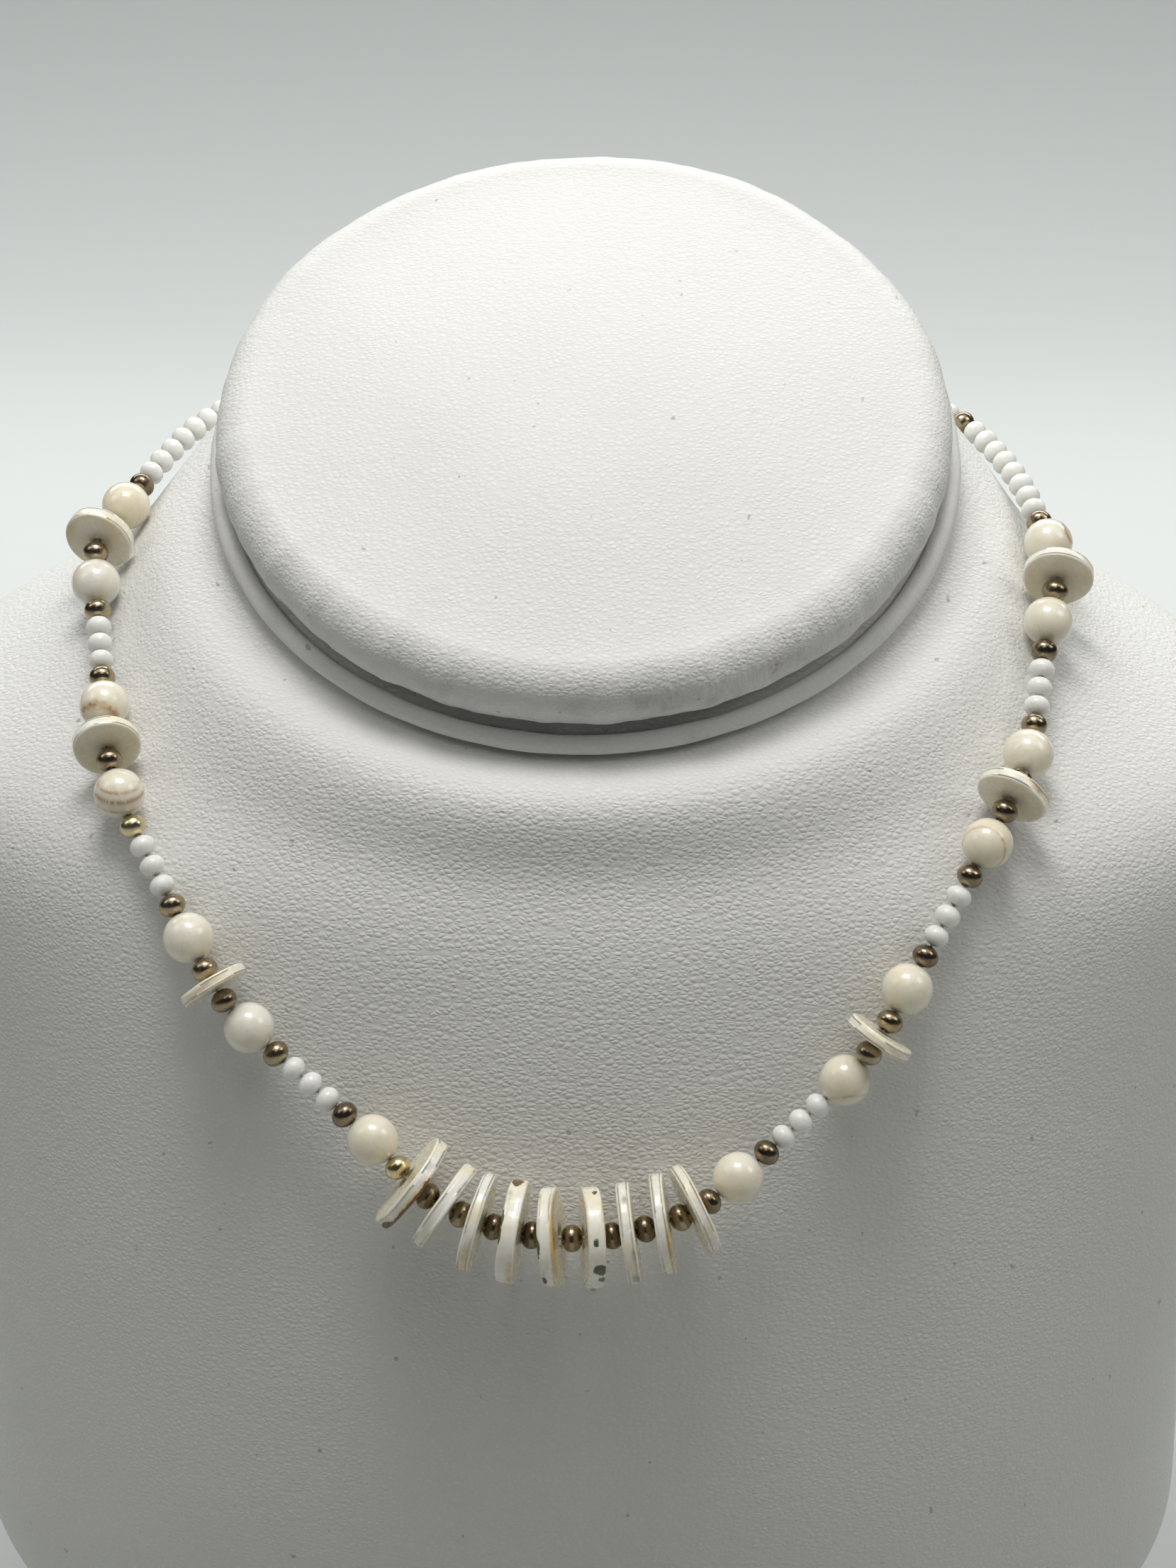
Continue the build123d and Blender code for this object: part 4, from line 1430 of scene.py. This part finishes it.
@dataclass(frozen=True)
class Softbox:
    """An area light with its place, size and aim in metres, and its beam's full angle in radians."""

    name: str
    place: tuple
    size: tuple
    watts: float
    color: tuple = (1.0, 0.985, 0.955)
    aim: tuple = (0.0, -0.02, 0.12)
    beam: float = 3.1

    def build(self) -> None:
        """Places the light and turns it to face its aim."""
        light = bpy.data.lights.new(self.name, "AREA")
        light.shape = "RECTANGLE"
        light.size, light.size_y = self.size
        light.energy = self.watts
        light.spread = self.beam
        light.color = self.color
        lamp = bpy.data.objects.new(self.name, light)
        lamp.location = self.place
        lamp.rotation_mode = "QUATERNION"
        lamp.rotation_quaternion = (Vector(self.aim) - Vector(self.place)).to_track_quat("-Z", "Y")
        bpy.context.scene.collection.objects.link(lamp)


@dataclass
class Studio:
    """A plain pale sweep, soft light from above and the photograph's viewpoint.

    The sweep's sizes are in metres. The lights are a small panel overhead, a wide soft ceiling, a
    weak one in front, two weak sides and a wash on the floor behind.
    """

    sweep_color: tuple = (0.50, 0.515, 0.50, 1.0)
    sweep_fleck: tuple = (0.46, 0.47, 0.46, 1.0)
    sweep_radius: float = 0.5
    sweep_half_width: float = 3.0
    sweep_wall: float = 1.6
    floor_start: float = -2.5
    floor_end: float = 0.75
    focal_pixels: float = 5445.0
    frame_height: int = 2212
    frame_width: int = 1659
    elevation: float = 20.0
    azimuth: float = 1.68
    roll: float = 0.45
    distance: float = 450.0
    target: tuple = (2.5, -52.0, 88.0)
    target_pixel: tuple = (827.0, 1745.0)
    sensor: float = 36.0
    surround: tuple = (0.93, 0.96, 0.98, 1.0)
    surround_strength: float = 0.045
    softboxes: tuple = (
        Softbox("overhead_panel", (-0.02, -0.11, 0.60), (0.20, 0.13), 1.15),
        Softbox("wide_ceiling", (0.0, -0.15, 1.2), (1.5, 0.85), 4.3, (1.0, 0.995, 0.98)),
        Softbox("front_lift", (0.0, -0.36, 0.56), (0.24, 0.16), 0.15),
        Softbox("left_side", (-0.4, -0.1, 0.45), (0.2, 0.2), 0.2, (1.0, 0.98, 0.95)),
        Softbox("right_side", (0.4, -0.1, 0.45), (0.2, 0.2), 0.35, (1.0, 0.98, 0.95)),
        Softbox("floor_wash", (0.0, 0.6, 0.62), (1.6, 0.35), 6.6, (0.97, 0.99, 1.0), (0.0, 0.52, 0.0), 2.4),
    )

    def camera(self) -> None:
        """Sets the camera so that the target point falls on its pixel."""
        azimuth, elevation, roll = map(math.radians, (self.azimuth, self.elevation, self.roll))
        level = np.array([math.cos(azimuth), math.sin(azimuth), 0.0])
        onward = np.array([-math.sin(azimuth), math.cos(azimuth), 0.0])
        forward = onward * math.cos(elevation) - [0, 0, math.sin(elevation)]
        upright = np.cross(level, forward)
        right = math.cos(roll) * level + math.sin(roll) * upright
        up = -math.sin(roll) * level + math.cos(roll) * upright
        across = (self.target_pixel[0] - self.frame_width / 2) / self.focal_pixels * self.distance
        above = (self.frame_height / 2 - self.target_pixel[1]) / self.focal_pixels * self.distance
        eye = np.array(self.target) - (across * right + above * up + self.distance * forward)
        lens = bpy.data.cameras.new("viewpoint")
        lens.sensor_fit = "VERTICAL"
        lens.sensor_height = self.sensor
        lens.sensor_width = self.sensor
        lens.lens = self.focal_pixels / self.frame_height * self.sensor
        lens.clip_start = 0.01
        lens.clip_end = 20.0
        camera = bpy.data.objects.new("viewpoint", lens)
        turn = Matrix(np.stack([right, up, -forward], axis=1).tolist()).to_4x4()
        camera.matrix_world = Matrix.Translation(Vector((eye * MM).tolist())) @ turn
        bpy.context.scene.collection.objects.link(camera)
        bpy.context.scene.camera = camera

    def sweep(self) -> None:
        """A floor that curves up into a wall well behind the bust.

        Along its section, past the floor's end the height is r (1 - cos a) and the depth r sin a.
        """
        radius, half_width = self.sweep_radius, self.sweep_half_width
        turn = np.linspace(0, np.pi / 2, 24)
        depth = np.concatenate([[self.floor_start], self.floor_end + radius * np.sin(turn)])
        depth = np.append(depth, self.floor_end + radius)
        height = np.concatenate([[0.0], radius * (1 - np.cos(turn)), [self.sweep_wall]])
        middle = np.stack([0 * depth, depth, height], axis=-1)
        edges = np.array([[-half_width, 0, 0], [half_width, 0, 0]])
        row = np.arange(len(depth) - 1)[:, None] * 2
        faces = np.concatenate([row, row + 1, row + 3, row + 2], axis=1)
        piece = new_piece("studio_sweep", middle[:, None, :] + edges, faces)
        material, nodes, shader = new_material("sweep_paper")
        paper = nodes.noise(nodes.add("ShaderNodeTexCoord").outputs["Object"], 60.0, 4.0)
        color = nodes.mix(nodes.remap(paper, 0.3, 0.7, 0.0, 0.06), self.sweep_color, self.sweep_fleck)
        nodes.feed_all(shader, {"Base Color": color, "Roughness": 0.9})
        piece.data.materials.append(material)

    def lights(self) -> None:
        """The softboxes and the pale surround."""
        for softbox in self.softboxes:
            softbox.build()
        world = bpy.data.worlds.new("pale_surround")
        world.use_nodes = True
        background = world.node_tree.nodes["Background"]
        background.inputs["Color"].default_value = self.surround
        background.inputs["Strength"].default_value = self.surround_strength
        bpy.context.scene.world = world
        bpy.context.scene.view_settings.view_transform = "Standard"

    def build(self) -> None:
        """Sets the camera, the sweep and the lights."""
        self.camera()
        self.sweep()
        self.lights()
        LOG.info("studio ready")


def main() -> None:
    """Builds the studio, the bust and the necklace."""
    logging.basicConfig(level=logging.INFO, format="%(name)s: %(message)s")
    Studio().build()
    effects = Effects()
    BustCover().build(LeatheretteFinish("leatherette_trunk").build(effects))
    cap_finish = LeatheretteFinish(
        "leatherette_cap", cells_per_metre=2000.0, grain_depth=0.00013, wrinkle_depth=0.0001
    )
    NeckCap().build(cap_finish.build(effects))
    piping_finish = LeatheretteFinish("leatherette_piping", cells_per_metre=1800.0, grain_depth=0.00005)
    NeckPiping().build(piping_finish.build(effects))
    RoundBeads().build(NacreFinish().build(effects))
    bronze_spacers = SpacerBeads(
        "bronze_spacers",
        node="bronze_beads",
        slot="bronze",
        radius=1.65,
        half_length=1.3,
        bore=0.5,
        columns=48,
        rows=24,
        seed=21,
        tone_low=0.0,
        tone_high=0.6,
        wobble=0.05,
        golden=((-19.5, -52.4, 96.6), (-51.8, -33.5, 131.2)),
    )
    bronze_spacers.build(BronzeFinish("bronze_beads").build(effects))
    milky_spacers = SpacerBeads(
        "milky_spacers",
        node="white_beads",
        slot="white_glass",
        radius=1.6,
        half_length=1.27,
        bore=0.4,
        columns=40,
        rows=20,
        seed=22,
        tone_low=0.0,
        tone_high=1.0,
        wobble=0.07,
    )
    milky_spacers.build(MilkGlassFinish().build(effects))
    ShellDiscs().build(ShellFinish().build(effects))
    dress_node("thread", ThreadFinish().build())
    dress_node("clasp", ClaspFinish().build(effects))


if __name__ == "__main__":
    main()
